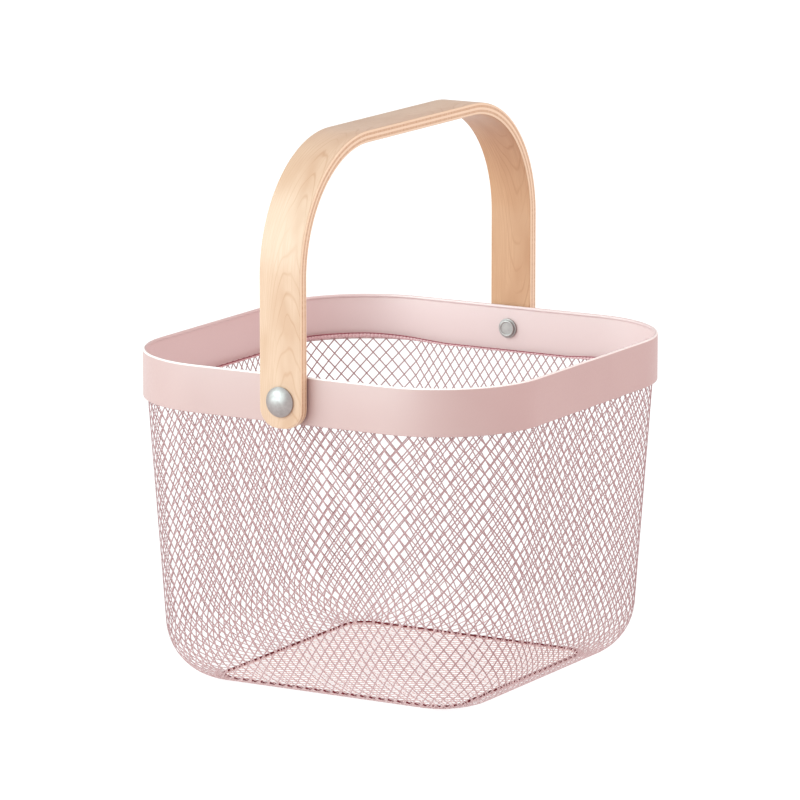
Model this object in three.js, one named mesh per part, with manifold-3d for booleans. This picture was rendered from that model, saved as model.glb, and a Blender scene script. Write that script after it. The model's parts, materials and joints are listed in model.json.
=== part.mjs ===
// A steel-mesh carry basket with a strip rim and a swinging handle of bent plywood.
// Millimetres, +Z up. The origin lies on the ground under the middle of the basket, and the
// handle swings about an axis along X.
import * as THREE from "three";
import { mergeVertices } from "three/addons/utils/BufferGeometryUtils.js";
import Module from "manifold-3d";

const wasm = await Module();
wasm.setup();

// Basket: a rounded square that tapers from the rim to the base wire
const RIM_LENGTH = 250; // along X, across the two rivets
const RIM_WIDTH = 244.6; // along Y
const RIM_CORNER = 62; // radius of the outer corners
const BASKET_HEIGHT = 190; // ground to the top of the rim
const FLOOR_LENGTH = 157.6; // along X, to the middle of the base wire
const FLOOR_WIDTH = 153.6; // along Y
const FLOOR_CORNER = 14;
const BEND_RADIUS = 34; // where the wall turns under into the floor

// Rim band: sheet steel with a small bead rolled into its top edge
const BAND_HEIGHT = 27;
const BAND_GAUGE = 1.2;
const LIP_DEPTH = 2; // diameter of the bead

// Mesh: strands of diamond section that cross in a net of diamond cells
const CELL_WIDTH = 17.5;
const CELL_HEIGHT = 25.6;
const CORNER_STRETCH = 1.4; // how much wider the cells are round the rim's corners
const STRAND_WIDTH = 2;
const STRAND_THICKNESS = 1.6;
const MESH_TUCK = 4; // how far the wall's top row reaches up behind the band
const MESH_GAP = 0.45; // between the mesh and the band

// Wires
const BASE_WIRE = 2.4; // diameter
const HEM_WIRE = 1.8; // diameter
const HEM_RISE = 2; // middle of the hem wire above the band's lower edge
const HEM_GAP = 0.6; // between the hem wire and the mesh

// Handle: a plywood strap bent into a U
const HANDLE_WIDTH = 26.5;
const HANDLE_THICKNESS = 6.8;
const HANDLE_BEND = 74; // radius of the outer face
const HANDLE_END_DROP = 15; // rivet to the lower end of a leg
const HANDLE_END_CORNER = 11;
const SWING_ROOM = 12.4; // between the rim and the handle's bar when the handle lies level

// Rivets and their washers
const SHANK_DIAMETER = 6;
const HEAD_DIAMETER = 17;
const HEAD_HEIGHT = 3.6; // crown of the dome over its edge
const HEAD_EDGE = 0.7; // straight rim under the dome
const SPACER_DIAMETER = 16;
const SPACER_THICKNESS = 0.8;
const TAIL_WASHER_DIAMETER = 11.5;
const TAIL_WASHER_THICKNESS = 1;
const TAIL_DIAMETER = 9.6;
const TAIL_HEIGHT = 1;
const TAIL_DISH = 7; // diameter of the shallow hollow in the tail
const TAIL_DISH_DEPTH = 0.4;

// Fits
const SEAT_GAP = 0.3; // between pieces that touch
const RUNNING_CLEARANCE = 0.08; // radial, handle on shank

// Fineness
const CORNER_STEPS = 12;
const WIRE_CORNER_STEPS = 6;
const BEND_SEGMENTS = 12;
const ROUND_SEGMENTS = 24;
const LIP_STEPS = 9;

const BAND_FOOT = BASKET_HEIGHT - BAND_HEIGHT;
const PIVOT_HEIGHT = BAND_FOOT + BAND_HEIGHT / 2;

// Faces on the +X side, from the band outwards
const BAND_FACE = RIM_LENGTH / 2;
const HANDLE_INNER = BAND_FACE + SEAT_GAP + SPACER_THICKNESS + SEAT_GAP;
const HANDLE_OUTER = HANDLE_INNER + HANDLE_THICKNESS;

const coat = new THREE.MeshStandardMaterial({ color: 0xeccfcc, roughness: 0.5, metalness: 0 });
const meshCoat = new THREE.MeshStandardMaterial({ color: 0xd3a3a6, roughness: 0.55, metalness: 0 });
const birch = new THREE.MeshStandardMaterial({ color: 0xeac8a2, roughness: 0.6, metalness: 0 });
const steel = new THREE.MeshStandardMaterial({ color: 0xb9b9b8, roughness: 0.35, metalness: 1 });
const nylon = new THREE.MeshStandardMaterial({ color: 0xe8e6e1, roughness: 0.6, metalness: 0 });

// Solids for cutting and joining
function solidOf(geometry) {
  const bare = geometry.clone();
  bare.deleteAttribute("normal");
  bare.deleteAttribute("uv");
  const merged = mergeVertices(bare, 1e-4);
  return new wasm.Manifold(
    new wasm.Mesh({
      numProp: 3,
      vertProperties: new Float32Array(merged.attributes.position.array),
      triVerts: new Uint32Array(merged.index.array),
    }),
  );
}

function geometryOf(solid) {
  const { vertProperties, triVerts } = solid.getMesh();
  const geometry = new THREE.BufferGeometry();
  geometry.setAttribute("position", new THREE.BufferAttribute(vertProperties, 3));
  geometry.setIndex(new THREE.BufferAttribute(triVerts, 1));
  geometry.computeVertexNormals();
  return geometry;
}

function closedGeometry(points, indices) {
  const geometry = new THREE.BufferGeometry().setFromPoints(points);
  geometry.setIndex(indices);
  geometry.computeVertexNormals();
  return geometry;
}

function named(name, geometry, material) {
  const mesh = new THREE.Mesh(geometry, material);
  mesh.name = name;
  return mesh;
}

// Corner arcs of a rounded rectangle, counterclockwise: the straight sides join them
function roundedLoop(halfX, halfY, corner, steps) {
  const points = [];
  const count = 4 * (steps + 1);
  for (let k = 0; k < count; k++) {
    const quarter = Math.floor(k / (steps + 1));
    const angle = ((quarter + (k % (steps + 1)) / steps) * Math.PI) / 2;
    const signX = quarter === 1 || quarter === 2 ? -1 : 1;
    const signY = quarter >= 2 ? -1 : 1;
    points.push(
      new THREE.Vector2(
        signX * (halfX - corner) + corner * Math.cos(angle),
        signY * (halfY - corner) + corner * Math.sin(angle),
      ),
    );
  }
  return points;
}

// A closed section of (inset, height) points, run round a rounded rectangle. The section goes up
// the outside and down the inside.
function sweepLoop(section, halfX, halfY, corner, steps) {
  const points = [];
  for (const { x: inset, y: height } of section) {
    for (const p of roundedLoop(halfX - inset, halfY - inset, corner - inset, steps)) {
      points.push(new THREE.Vector3(p.x, p.y, height));
    }
  }
  const around = 4 * (steps + 1);
  const indices = [];
  for (let i = 0; i < section.length; i++) {
    const row = i * around;
    const next = ((i + 1) % section.length) * around;
    for (let k = 0; k < around; k++) {
      const m = (k + 1) % around;
      indices.push(row + k, row + m, next + m, row + k, next + m, next + k);
    }
  }
  return closedGeometry(points, indices);
}

// Round wire section with a flat underside, as many-sided as given
function wireSection(inset, height, diameter, sides) {
  const reach = diameter / 2 / Math.cos(Math.PI / sides);
  return Array.from({ length: sides }, (_, k) => {
    const angle = -Math.PI / 2 - ((k + 0.5) * 2 * Math.PI) / sides;
    return new THREE.Vector2(inset + reach * Math.cos(angle), height + reach * Math.sin(angle));
  });
}

// A cylinder along X through the whole basket
function crossBore(diameter) {
  const bore = new THREE.CylinderGeometry(diameter / 2, diameter / 2, 2 * RIM_LENGTH, ROUND_SEGMENTS);
  return bore.rotateZ(Math.PI / 2);
}

// Rim band
function bandGeometry() {
  const roll = LIP_DEPTH / 2;
  const turned = Math.PI + Math.acos((BAND_GAUGE - roll) / roll);
  const section = [new THREE.Vector2(0, BAND_FOOT)];
  for (let k = 0; k <= LIP_STEPS; k++) {
    const angle = Math.PI - (turned * k) / LIP_STEPS;
    section.push(
      new THREE.Vector2(roll + roll * Math.cos(angle), BASKET_HEIGHT - roll + roll * Math.sin(angle)),
    );
  }
  section.push(new THREE.Vector2(BAND_GAUGE, BAND_FOOT));
  const strip = sweepLoop(section, RIM_LENGTH / 2, RIM_WIDTH / 2, RIM_CORNER, CORNER_STEPS);
  const bore = crossBore(SHANK_DIAMETER + 2 * SEAT_GAP).translate(0, 0, PIVOT_HEIGHT);
  return geometryOf(solidOf(strip).subtract(solidOf(bore)));
}

// Mesh net: each crossing of two strands is a knot. It has a point outside and inside the net, and
// one in each of the four cells that meet there. A strand joins four of these to four of the next.
class Net {
  points = [];
  indices = [];

  add(point) {
    this.points.push(point);
    return this.points.length - 1;
  }

  // across and along are the steps to the neighbours in the net's two directions
  knot(point, across, along, upReach, downReach) {
    const normal = new THREE.Vector3().crossVectors(across, along).normalize();
    const lean = Math.atan2(along.length(), across.length());
    const sideways = across.clone().normalize();
    const upwards = along.clone().normalize();
    const side = STRAND_WIDTH / 2 / Math.sin(lean);
    const tip = STRAND_WIDTH / 2 / Math.cos(lean);
    const at = (direction, distance) => this.add(point.clone().addScaledVector(direction, distance));
    const outer = at(normal, STRAND_THICKNESS / 2);
    const inner = at(normal, -STRAND_THICKNESS / 2);
    const right = at(sideways, side);
    const left = at(sideways, -side);
    const up = at(upwards, upReach ?? tip);
    const down = at(upwards, -(downReach ?? tip));
    return {
      point,
      normal,
      upRight: [outer, up, inner, right],
      upLeft: [outer, left, inner, up],
      downLeft: [outer, left, inner, down],
      downRight: [outer, down, inner, right],
    };
  }

  // The four corners of a strand cut square across at a point
  cut(point, direction, normal) {
    const leftwards = new THREE.Vector3().crossVectors(normal, direction).normalize();
    const at = (way, distance) => this.add(point.clone().addScaledVector(way, distance));
    return [
      at(normal, STRAND_THICKNESS / 2),
      at(leftwards, STRAND_WIDTH / 2),
      at(normal, -STRAND_THICKNESS / 2),
      at(leftwards, -STRAND_WIDTH / 2),
    ];
  }

  strand(lower, upper) {
    for (let k = 0; k < 4; k++) {
      const m = (k + 1) % 4;
      this.indices.push(lower[k], upper[k], upper[m], lower[k], upper[m], lower[m]);
    }
  }

  endAbove([outer, left, inner, right]) {
    this.indices.push(outer, right, left, right, inner, left);
  }

  endBelow([outer, left, inner, right]) {
    this.indices.push(outer, left, right, left, inner, right);
  }

  geometry() {
    return closedGeometry(this.points, this.indices);
  }
}

// Wall: insets are measured inwards from the rim's outer face
const FLOOR_INSET = (RIM_LENGTH - FLOOR_LENGTH) / 2;
const FLOOR_INSET_Y = (RIM_WIDTH - FLOOR_WIDTH) / 2;
const BASE_HEIGHT = BASE_WIRE / 2;

// Middle of the wall's thickness, from the base wire up to the band, as one arc and one straight
const wallStart = BASE_WIRE / 2 + SEAT_GAP + STRAND_WIDTH / 2; // the strands stop short of the wire
const wallTop = new THREE.Vector2(BAND_GAUGE + MESH_GAP + STRAND_THICKNESS / 2, BAND_FOOT + MESH_TUCK);
const bendCentre = new THREE.Vector2(FLOOR_INSET, BASE_HEIGHT + BEND_RADIUS);
const toCentre = bendCentre.clone().sub(wallTop);
const taper = Math.atan2(toCentre.x, -toCentre.y) - Math.asin(BEND_RADIUS / toCentre.length());
const bendAngle = Math.PI / 2 - taper;
const bendLength = BEND_RADIUS * bendAngle;
const straightLength = Math.sqrt(toCentre.lengthSq() - BEND_RADIUS ** 2);
const wallLength = bendLength + straightLength - wallStart;

// Inset and height at a distance up the wall from the base wire's middle
function wallProfile(distance) {
  const angle = Math.min(distance, bendLength) / BEND_RADIUS;
  const rest = Math.max(distance - bendLength, 0);
  return new THREE.Vector2(
    bendCentre.x - BEND_RADIUS * Math.sin(angle) - rest * Math.sin(taper),
    bendCentre.y - BEND_RADIUS * Math.cos(angle) + rest * Math.cos(taper),
  );
}

// Half sizes and corner radius of the wall's level section at an inset
function wallSection(inset) {
  const share = inset / FLOOR_INSET;
  const eased = share * share * (3 - 2 * share);
  return {
    halfX: RIM_LENGTH / 2 - inset,
    halfY: RIM_WIDTH / 2 - inset - (FLOOR_INSET_Y - FLOOR_INSET) * eased,
    corner: RIM_CORNER - inset + (FLOOR_CORNER - RIM_CORNER + FLOOR_INSET) * eased,
  };
}

// Columns of cells along each side's straight, and round each corner
const sideColumns = Math.max(1, Math.round((RIM_WIDTH - 2 * RIM_CORNER) / CELL_WIDTH));
const cornerLength = (RIM_CORNER * Math.PI) / 2;
const cornerColumns = Math.max(1, Math.round(cornerLength / (CELL_WIDTH * CORNER_STRETCH)));
const columns = 4 * (sideColumns + cornerColumns);

// Point on a level section, at a share of a turn from +X, counterclockwise. Each straight and each
// corner keeps its columns at every level, so that the taper shows in the corners only.
function sectionPoint(turn, { halfX, halfY, corner }) {
  const quarters = 4 * (turn - Math.floor(turn));
  const quarter = Math.floor(quarters);
  const part = quarter % 2 ? 1 - (quarters - quarter) : quarters - quarter;
  const column = (part * columns) / 4;
  const half = sideColumns / 2;
  const left = columns / 4 - column;
  const angle = (THREE.MathUtils.clamp((column - half) / cornerColumns, 0, 1) * Math.PI) / 2;
  const x = Math.min(left / half, 1) * (halfX - corner) + corner * Math.cos(angle);
  const y = Math.min(column / half, 1) * (halfY - corner) + corner * Math.sin(angle);
  return new THREE.Vector2(quarter === 1 || quarter === 2 ? -x : x, quarter >= 2 ? -y : y);
}

function wallPoint(turn, distance) {
  const { x: inset, y: height } = wallProfile(distance);
  const p = sectionPoint(turn, wallSection(inset));
  return new THREE.Vector3(p.x, p.y, height);
}

// Half the step from one neighbour to the other
function halfStep(from, to) {
  return to.clone().sub(from).multiplyScalar(0.5);
}

function wallMeshGeometry() {
  const rows = Math.max(1, Math.round(wallLength / CELL_HEIGHT));
  const acrossStep = 0.5 / columns;
  const alongStep = wallLength / rows / 2;
  const top = 2 * rows;
  const net = new Net();
  const knots = new Map();
  const key = (i, j) => `${(i + 2 * columns) % (2 * columns)} ${j}`;
  for (let j = 0; j <= top; j++) {
    for (let i = j % 2; i < 2 * columns; i += 2) {
      const at = (di, dj) => wallPoint((i + di) * acrossStep, wallStart + (j + dj) * alongStep);
      const across = halfStep(at(-1, 0), at(1, 0));
      const along = halfStep(at(0, -1), at(0, 1));
      const upReach = j === top ? STRAND_WIDTH / 2 : undefined;
      const downReach = j === 0 ? STRAND_WIDTH / 2 : undefined;
      knots.set(key(i, j), net.knot(at(0, 0), across, along, upReach, downReach));
    }
  }
  for (let j = 0; j <= top; j++) {
    for (let i = j % 2; i < 2 * columns; i += 2) {
      const knot = knots.get(key(i, j));
      if (j < top) {
        net.strand(knot.upRight, knots.get(key(i + 1, j + 1)).downLeft);
        net.strand(knot.upLeft, knots.get(key(i - 1, j + 1)).downRight);
      } else {
        net.endAbove(knot.upRight);
        net.endAbove(knot.upLeft);
      }
      if (j === 0) {
        net.endBelow(knot.downLeft);
        net.endBelow(knot.downRight);
      }
    }
  }
  return net.geometry();
}

// Distance of a point outside a rounded rectangle, negative inside it
function outsideBy(point, halfX, halfY, corner) {
  const dx = Math.abs(point.x) - halfX + corner;
  const dy = Math.abs(point.y) - halfY + corner;
  return Math.hypot(Math.max(dx, 0), Math.max(dy, 0)) + Math.min(Math.max(dx, dy), 0) - corner;
}

// Floor: a level net whose strands are cut off just inside the base wire
function floorMeshGeometry() {
  const inside = BASE_WIRE / 2 + SEAT_GAP + STRAND_WIDTH / 2;
  const reach = (p) =>
    outsideBy(p, FLOOR_LENGTH / 2 - inside, FLOOR_WIDTH / 2 - inside, FLOOR_CORNER - inside);
  const stepX = CELL_WIDTH / 2;
  const stepY = CELL_HEIGHT / 2;
  const across = new THREE.Vector3(stepX, 0, 0);
  const along = new THREE.Vector3(0, stepY, 0);
  const spanX = Math.ceil(FLOOR_LENGTH / CELL_WIDTH);
  const spanY = Math.ceil(FLOOR_WIDTH / CELL_HEIGHT);
  const net = new Net();
  const knots = new Map();
  for (let j = -spanY; j <= spanY; j++) {
    for (let i = -spanX; i <= spanX; i++) {
      const point = new THREE.Vector3(i * stepX, j * stepY, BASE_HEIGHT);
      if ((i + j) % 2 === 0 && reach(point) < -STRAND_WIDTH) {
        knots.set(`${i} ${j}`, { i, j, ...net.knot(point, across, along) });
      }
    }
  }
  // Where a strand that leaves the net meets the base wire, or null where it has no room
  const cutPoint = (knot, direction) => {
    let near = 0;
    let far = 2 * (stepX + stepY);
    const at = (distance) => knot.point.clone().addScaledVector(direction, distance);
    while (far - near > 1e-4) {
      const middle = (near + far) / 2;
      if (reach(at(middle)) < 0) near = middle;
      else far = middle;
    }
    return near > 2 * STRAND_WIDTH ? at(near) : null;
  };
  for (const knot of knots.values()) {
    for (const way of [1, -1]) {
      const upwards = new THREE.Vector3(way * stepX, stepY, 0).normalize();
      const above = knots.get(`${knot.i + way} ${knot.j + 1}`);
      const start = way > 0 ? knot.upRight : knot.upLeft;
      const stubUp = above ? null : cutPoint(knot, upwards);
      if (above) {
        net.strand(start, way > 0 ? above.downLeft : above.downRight);
      } else if (stubUp) {
        const end = net.cut(stubUp, upwards, knot.normal);
        net.strand(start, end);
        net.endAbove(end);
      } else {
        net.endAbove(start);
      }
      const arrival = way > 0 ? knot.downLeft : knot.downRight;
      if (knots.has(`${knot.i - way} ${knot.j - 1}`)) continue;
      const stubDown = cutPoint(knot, upwards.clone().negate());
      if (stubDown) {
        const end = net.cut(stubDown, upwards, knot.normal);
        net.strand(end, arrival);
        net.endBelow(end);
      } else {
        net.endBelow(arrival);
      }
    }
  }
  return net.geometry();
}

// Base wire, which both nets end at
function baseRingGeometry() {
  const section = wireSection(0, BASE_HEIGHT, BASE_WIRE, 8);
  return sweepLoop(section, FLOOR_LENGTH / 2, FLOOR_WIDTH / 2, FLOOR_CORNER, WIRE_CORNER_STEPS);
}

// Hem wire, inside the wall's top row and level with the band's lower edge
function hemWireGeometry() {
  const height = BAND_FOOT + HEM_RISE;
  const wallInset = wallTop.x + (wallTop.y - height) * Math.tan(taper);
  const inset = wallInset + STRAND_THICKNESS / 2 + HEM_GAP + HEM_WIRE / 2;
  const section = wireSection(inset, height, HEM_WIRE, 6);
  return sweepLoop(section, RIM_LENGTH / 2, RIM_WIDTH / 2, RIM_CORNER, CORNER_STEPS);
}

// Handle, drawn about its pivot
function handleGeometry() {
  const barTop = RIM_WIDTH / 2 + SWING_ROOM + HANDLE_THICKNESS;
  const bendHeight = barTop - HANDLE_BEND;
  const bendX = HANDLE_OUTER - HANDLE_BEND;
  const innerBend = HANDLE_BEND - HANDLE_THICKNESS;
  const strap = new THREE.Shape();
  strap.moveTo(-HANDLE_OUTER, -HANDLE_END_DROP);
  strap.lineTo(-HANDLE_OUTER, bendHeight);
  strap.absarc(-bendX, bendHeight, HANDLE_BEND, Math.PI, Math.PI / 2, true);
  strap.absarc(bendX, bendHeight, HANDLE_BEND, Math.PI / 2, 0, true);
  strap.lineTo(HANDLE_OUTER, -HANDLE_END_DROP);
  strap.lineTo(HANDLE_INNER, -HANDLE_END_DROP);
  strap.absarc(bendX, bendHeight, innerBend, 0, Math.PI / 2, false);
  strap.absarc(-bendX, bendHeight, innerBend, Math.PI / 2, Math.PI, false);
  strap.lineTo(-HANDLE_INNER, -HANDLE_END_DROP);
  strap.closePath();
  const side = { depth: HANDLE_WIDTH, bevelEnabled: false, curveSegments: BEND_SEGMENTS };
  const bent = new THREE.ExtrudeGeometry(strap, side);
  bent.rotateX(Math.PI / 2).translate(0, HANDLE_WIDTH / 2, 0);

  // Seen along X: a straight strap with rounded lower corners
  const halfWidth = HANDLE_WIDTH / 2;
  const corner = Math.min(HANDLE_END_CORNER, halfWidth);
  const face = new THREE.Shape();
  face.moveTo(halfWidth, barTop + HANDLE_THICKNESS);
  face.lineTo(-halfWidth, barTop + HANDLE_THICKNESS);
  face.absarc(corner - halfWidth, corner - HANDLE_END_DROP, corner, Math.PI, 1.5 * Math.PI, false);
  face.absarc(halfWidth - corner, corner - HANDLE_END_DROP, corner, 1.5 * Math.PI, 2 * Math.PI, false);
  face.closePath();
  const across = { depth: 3 * HANDLE_OUTER, bevelEnabled: false, curveSegments: BEND_SEGMENTS };
  const front = new THREE.ExtrudeGeometry(face, across).translate(0, 0, -1.5 * HANDLE_OUTER);
  const axes = [new THREE.Vector3(0, 1, 0), new THREE.Vector3(0, 0, 1), new THREE.Vector3(1, 0, 0)];
  front.applyMatrix4(new THREE.Matrix4().makeBasis(...axes));

  const bore = solidOf(crossBore(SHANK_DIAMETER + 2 * RUNNING_CLEARANCE));
  return geometryOf(solidOf(bent).intersect(solidOf(front)).subtract(bore));
}

// Turned pieces: profiles of (radius, place along the axis), with the axis pointing away from the
// basket and its zero in the middle of the basket
function turned(profile) {
  const points = profile.map(([radius, place]) => new THREE.Vector2(radius, place));
  return new THREE.LatheGeometry(points, ROUND_SEGMENTS).rotateZ(-Math.PI / 2);
}

function washerGeometry(diameter, from, thickness) {
  const inner = SHANK_DIAMETER / 2 + SEAT_GAP;
  const outer = diameter / 2;
  return turned([
    [inner, from],
    [outer, from],
    [outer, from + thickness],
    [inner, from + thickness],
    [inner, from],
  ]);
}

function rivetGeometry() {
  const seat = HANDLE_OUTER + SEAT_GAP;
  const tailSeat = BAND_FACE - BAND_GAUGE - 2 * SEAT_GAP - TAIL_WASHER_THICKNESS;
  const tailEnd = tailSeat - TAIL_HEIGHT;
  const shank = SHANK_DIAMETER / 2;
  const tail = TAIL_DIAMETER / 2;
  const dish = TAIL_DISH / 2;
  const head = HEAD_DIAMETER / 2;
  const crown = (head * head + HEAD_HEIGHT * HEAD_HEIGHT) / (2 * HEAD_HEIGHT);
  const spread = Math.asin(head / crown);
  const domeSteps = 5;
  const dome = Array.from({ length: domeSteps + 1 }, (_, k) => {
    const angle = spread * (1 - k / domeSteps);
    const place = seat + HEAD_EDGE + HEAD_HEIGHT - crown * (1 - Math.cos(angle));
    return [k === domeSteps ? 0 : crown * Math.sin(angle), place];
  });
  return turned([
    [0, tailEnd + TAIL_DISH_DEPTH],
    [dish, tailEnd + TAIL_DISH_DEPTH],
    [(dish + tail) / 2, tailEnd],
    [tail, tailEnd + TAIL_HEIGHT / 2],
    [tail, tailSeat],
    [shank, tailSeat],
    [shank, seat],
    [head, seat],
    ...dome,
  ]);
}

// One side's rivet and washers, pointing along +X
function pivotSide(side, turn) {
  const group = new THREE.Group();
  const washerFoot = BAND_FACE - BAND_GAUGE - SEAT_GAP - TAIL_WASHER_THICKNESS;
  const spacer = washerGeometry(SPACER_DIAMETER, BAND_FACE + SEAT_GAP, SPACER_THICKNESS);
  const washer = washerGeometry(TAIL_WASHER_DIAMETER, washerFoot, TAIL_WASHER_THICKNESS);
  group.add(named(`rivet_${side}`, rivetGeometry(), steel));
  group.add(named(`spacer_${side}`, spacer, nylon));
  group.add(named(`tail_washer_${side}`, washer, steel));
  group.position.z = PIVOT_HEIGHT;
  group.rotation.z = turn;
  return group;
}

const basket = new THREE.Group();
basket.add(named("rim_band", bandGeometry(), coat));
basket.add(named("wall_mesh", wallMeshGeometry(), meshCoat));
basket.add(named("floor_mesh", floorMeshGeometry(), meshCoat));
basket.add(named("base_ring", baseRingGeometry(), meshCoat));
basket.add(named("hem_wire", hemWireGeometry(), meshCoat));
basket.add(pivotSide("right", 0));
basket.add(pivotSide("left", Math.PI));

const swing = new THREE.Group();
swing.position.z = PIVOT_HEIGHT;
swing.add(named("handle", handleGeometry(), birch));
basket.add(swing);

export default basket;
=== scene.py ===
"""Looks of a wire carry basket with a swinging plywood handle.

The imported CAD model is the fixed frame. Each sub-assembly below is a class that takes its place
from the frame, builds fine meshes in the frame's metres and dresses them in its finish.
"""

import json
import logging
import math
from collections.abc import Sequence
from dataclasses import dataclass, field
from enum import Enum

import bpy
import numpy as np
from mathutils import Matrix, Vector


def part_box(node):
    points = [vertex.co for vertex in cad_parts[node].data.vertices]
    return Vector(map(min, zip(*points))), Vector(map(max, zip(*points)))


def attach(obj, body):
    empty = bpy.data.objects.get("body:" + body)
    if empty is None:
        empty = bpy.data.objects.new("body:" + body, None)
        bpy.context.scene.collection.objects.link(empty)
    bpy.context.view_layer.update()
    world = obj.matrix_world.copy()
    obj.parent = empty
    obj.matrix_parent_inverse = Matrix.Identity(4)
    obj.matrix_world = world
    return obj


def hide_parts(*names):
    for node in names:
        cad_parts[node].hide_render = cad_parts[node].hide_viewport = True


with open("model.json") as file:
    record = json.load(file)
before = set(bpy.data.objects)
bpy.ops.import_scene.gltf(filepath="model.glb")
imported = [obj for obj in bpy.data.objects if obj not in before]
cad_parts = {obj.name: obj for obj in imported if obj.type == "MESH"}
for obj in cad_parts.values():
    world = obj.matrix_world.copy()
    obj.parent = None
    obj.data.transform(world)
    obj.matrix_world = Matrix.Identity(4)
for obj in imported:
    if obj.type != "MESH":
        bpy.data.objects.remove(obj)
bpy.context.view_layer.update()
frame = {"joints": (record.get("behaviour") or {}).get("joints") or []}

Colour = tuple[float, float, float, float]
Triple = tuple[float, float, float]
Span = tuple[float, float]
Profile = list[tuple[float, float]]
Faces = list[tuple[int, ...]]
Socket = bpy.types.NodeSocket
Feed = Socket | float | int | bool | str | Sequence[float] | bpy.types.Material
Feeds = dict[int | str, Feed]

MM = 0.001
QUARTER_TURN = math.pi / 2
FULL_TURN = math.pi * 2
UP: Triple = (0.0, 0.0, 1.0)
WHITE: Colour = (1.0, 1.0, 1.0, 1.0)

# Stretches that noises are mapped from: all of it, its usual range and the middle of that.
WHOLE: Span = (0.0, 1.0)
NOISE_RANGE: Span = (0.3, 0.7)
NOISE_MIDDLE: Span = (0.35, 0.65)

log = logging.getLogger("basket")


class Body(Enum):
    """The bodies of the frame that pieces ride on."""

    BASKET = "basket"
    HANDLE = "handle"


class Slot(Enum):
    """The record's material slots."""

    COAT = "coat"
    MESH_COAT = "mesh_coat"
    BIRCH = "birch"
    STEEL = "steel"
    NYLON = "nylon"


class Side(Enum):
    """The two pivots of the handle, with the sign of their X axis."""

    RIGHT = 1
    LEFT = -1

    @property
    def word(self) -> str:
        """The side's name as the nodes spell it."""
        return self.name.lower()


class Way(Enum):
    """The two directions in which strands cross a net."""

    RISING_RIGHT = 1
    RISING_LEFT = -1


class InputKind(Enum):
    """Socket types for the named inputs of a Geometry Nodes tree."""

    COUNT = "NodeSocketInt"
    SIZE = "NodeSocketFloat"
    SIZES = "NodeSocketVector"


def screen_colour(red: int, green: int, blue: int) -> Colour:
    """Turns a screen colour into the linear colour that a shader takes.

    Args:
        red: Red from 0 to 255.
        green: Green from 0 to 255.
        blue: Blue from 0 to 255.

    Returns:
        The linear colour with full opacity.
    """
    knee, slope, offset, power = 0.04045, 12.92, 0.055, 2.4
    linear = []
    for channel in (red, green, blue):
        share = channel / 255
        curved = ((share + offset) / (1 + offset)) ** power
        linear.append(share / slope if share <= knee else curved)
    return (*linear, 1.0)


def placed(name: str, data: bpy.types.ID) -> bpy.types.Object:
    """Makes an object of a mesh, a lamp or a lens, and adds it to the scene.

    Args:
        name: The object's name.
        data: Its mesh, lamp or lens.

    Returns:
        The object.
    """
    thing = bpy.data.objects.new(name, data)
    bpy.context.scene.collection.objects.link(thing)
    return thing


def applied(holder: bpy.types.Object) -> bpy.types.Mesh:
    """Keeps what an object's modifiers make as a plain mesh, and removes the object.

    Args:
        holder: The object with the modifiers.

    Returns:
        The plain mesh.
    """
    graph = bpy.context.evaluated_depsgraph_get()
    made = bpy.data.meshes.new_from_object(holder.evaluated_get(graph))
    bpy.data.objects.remove(holder)
    return made


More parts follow.
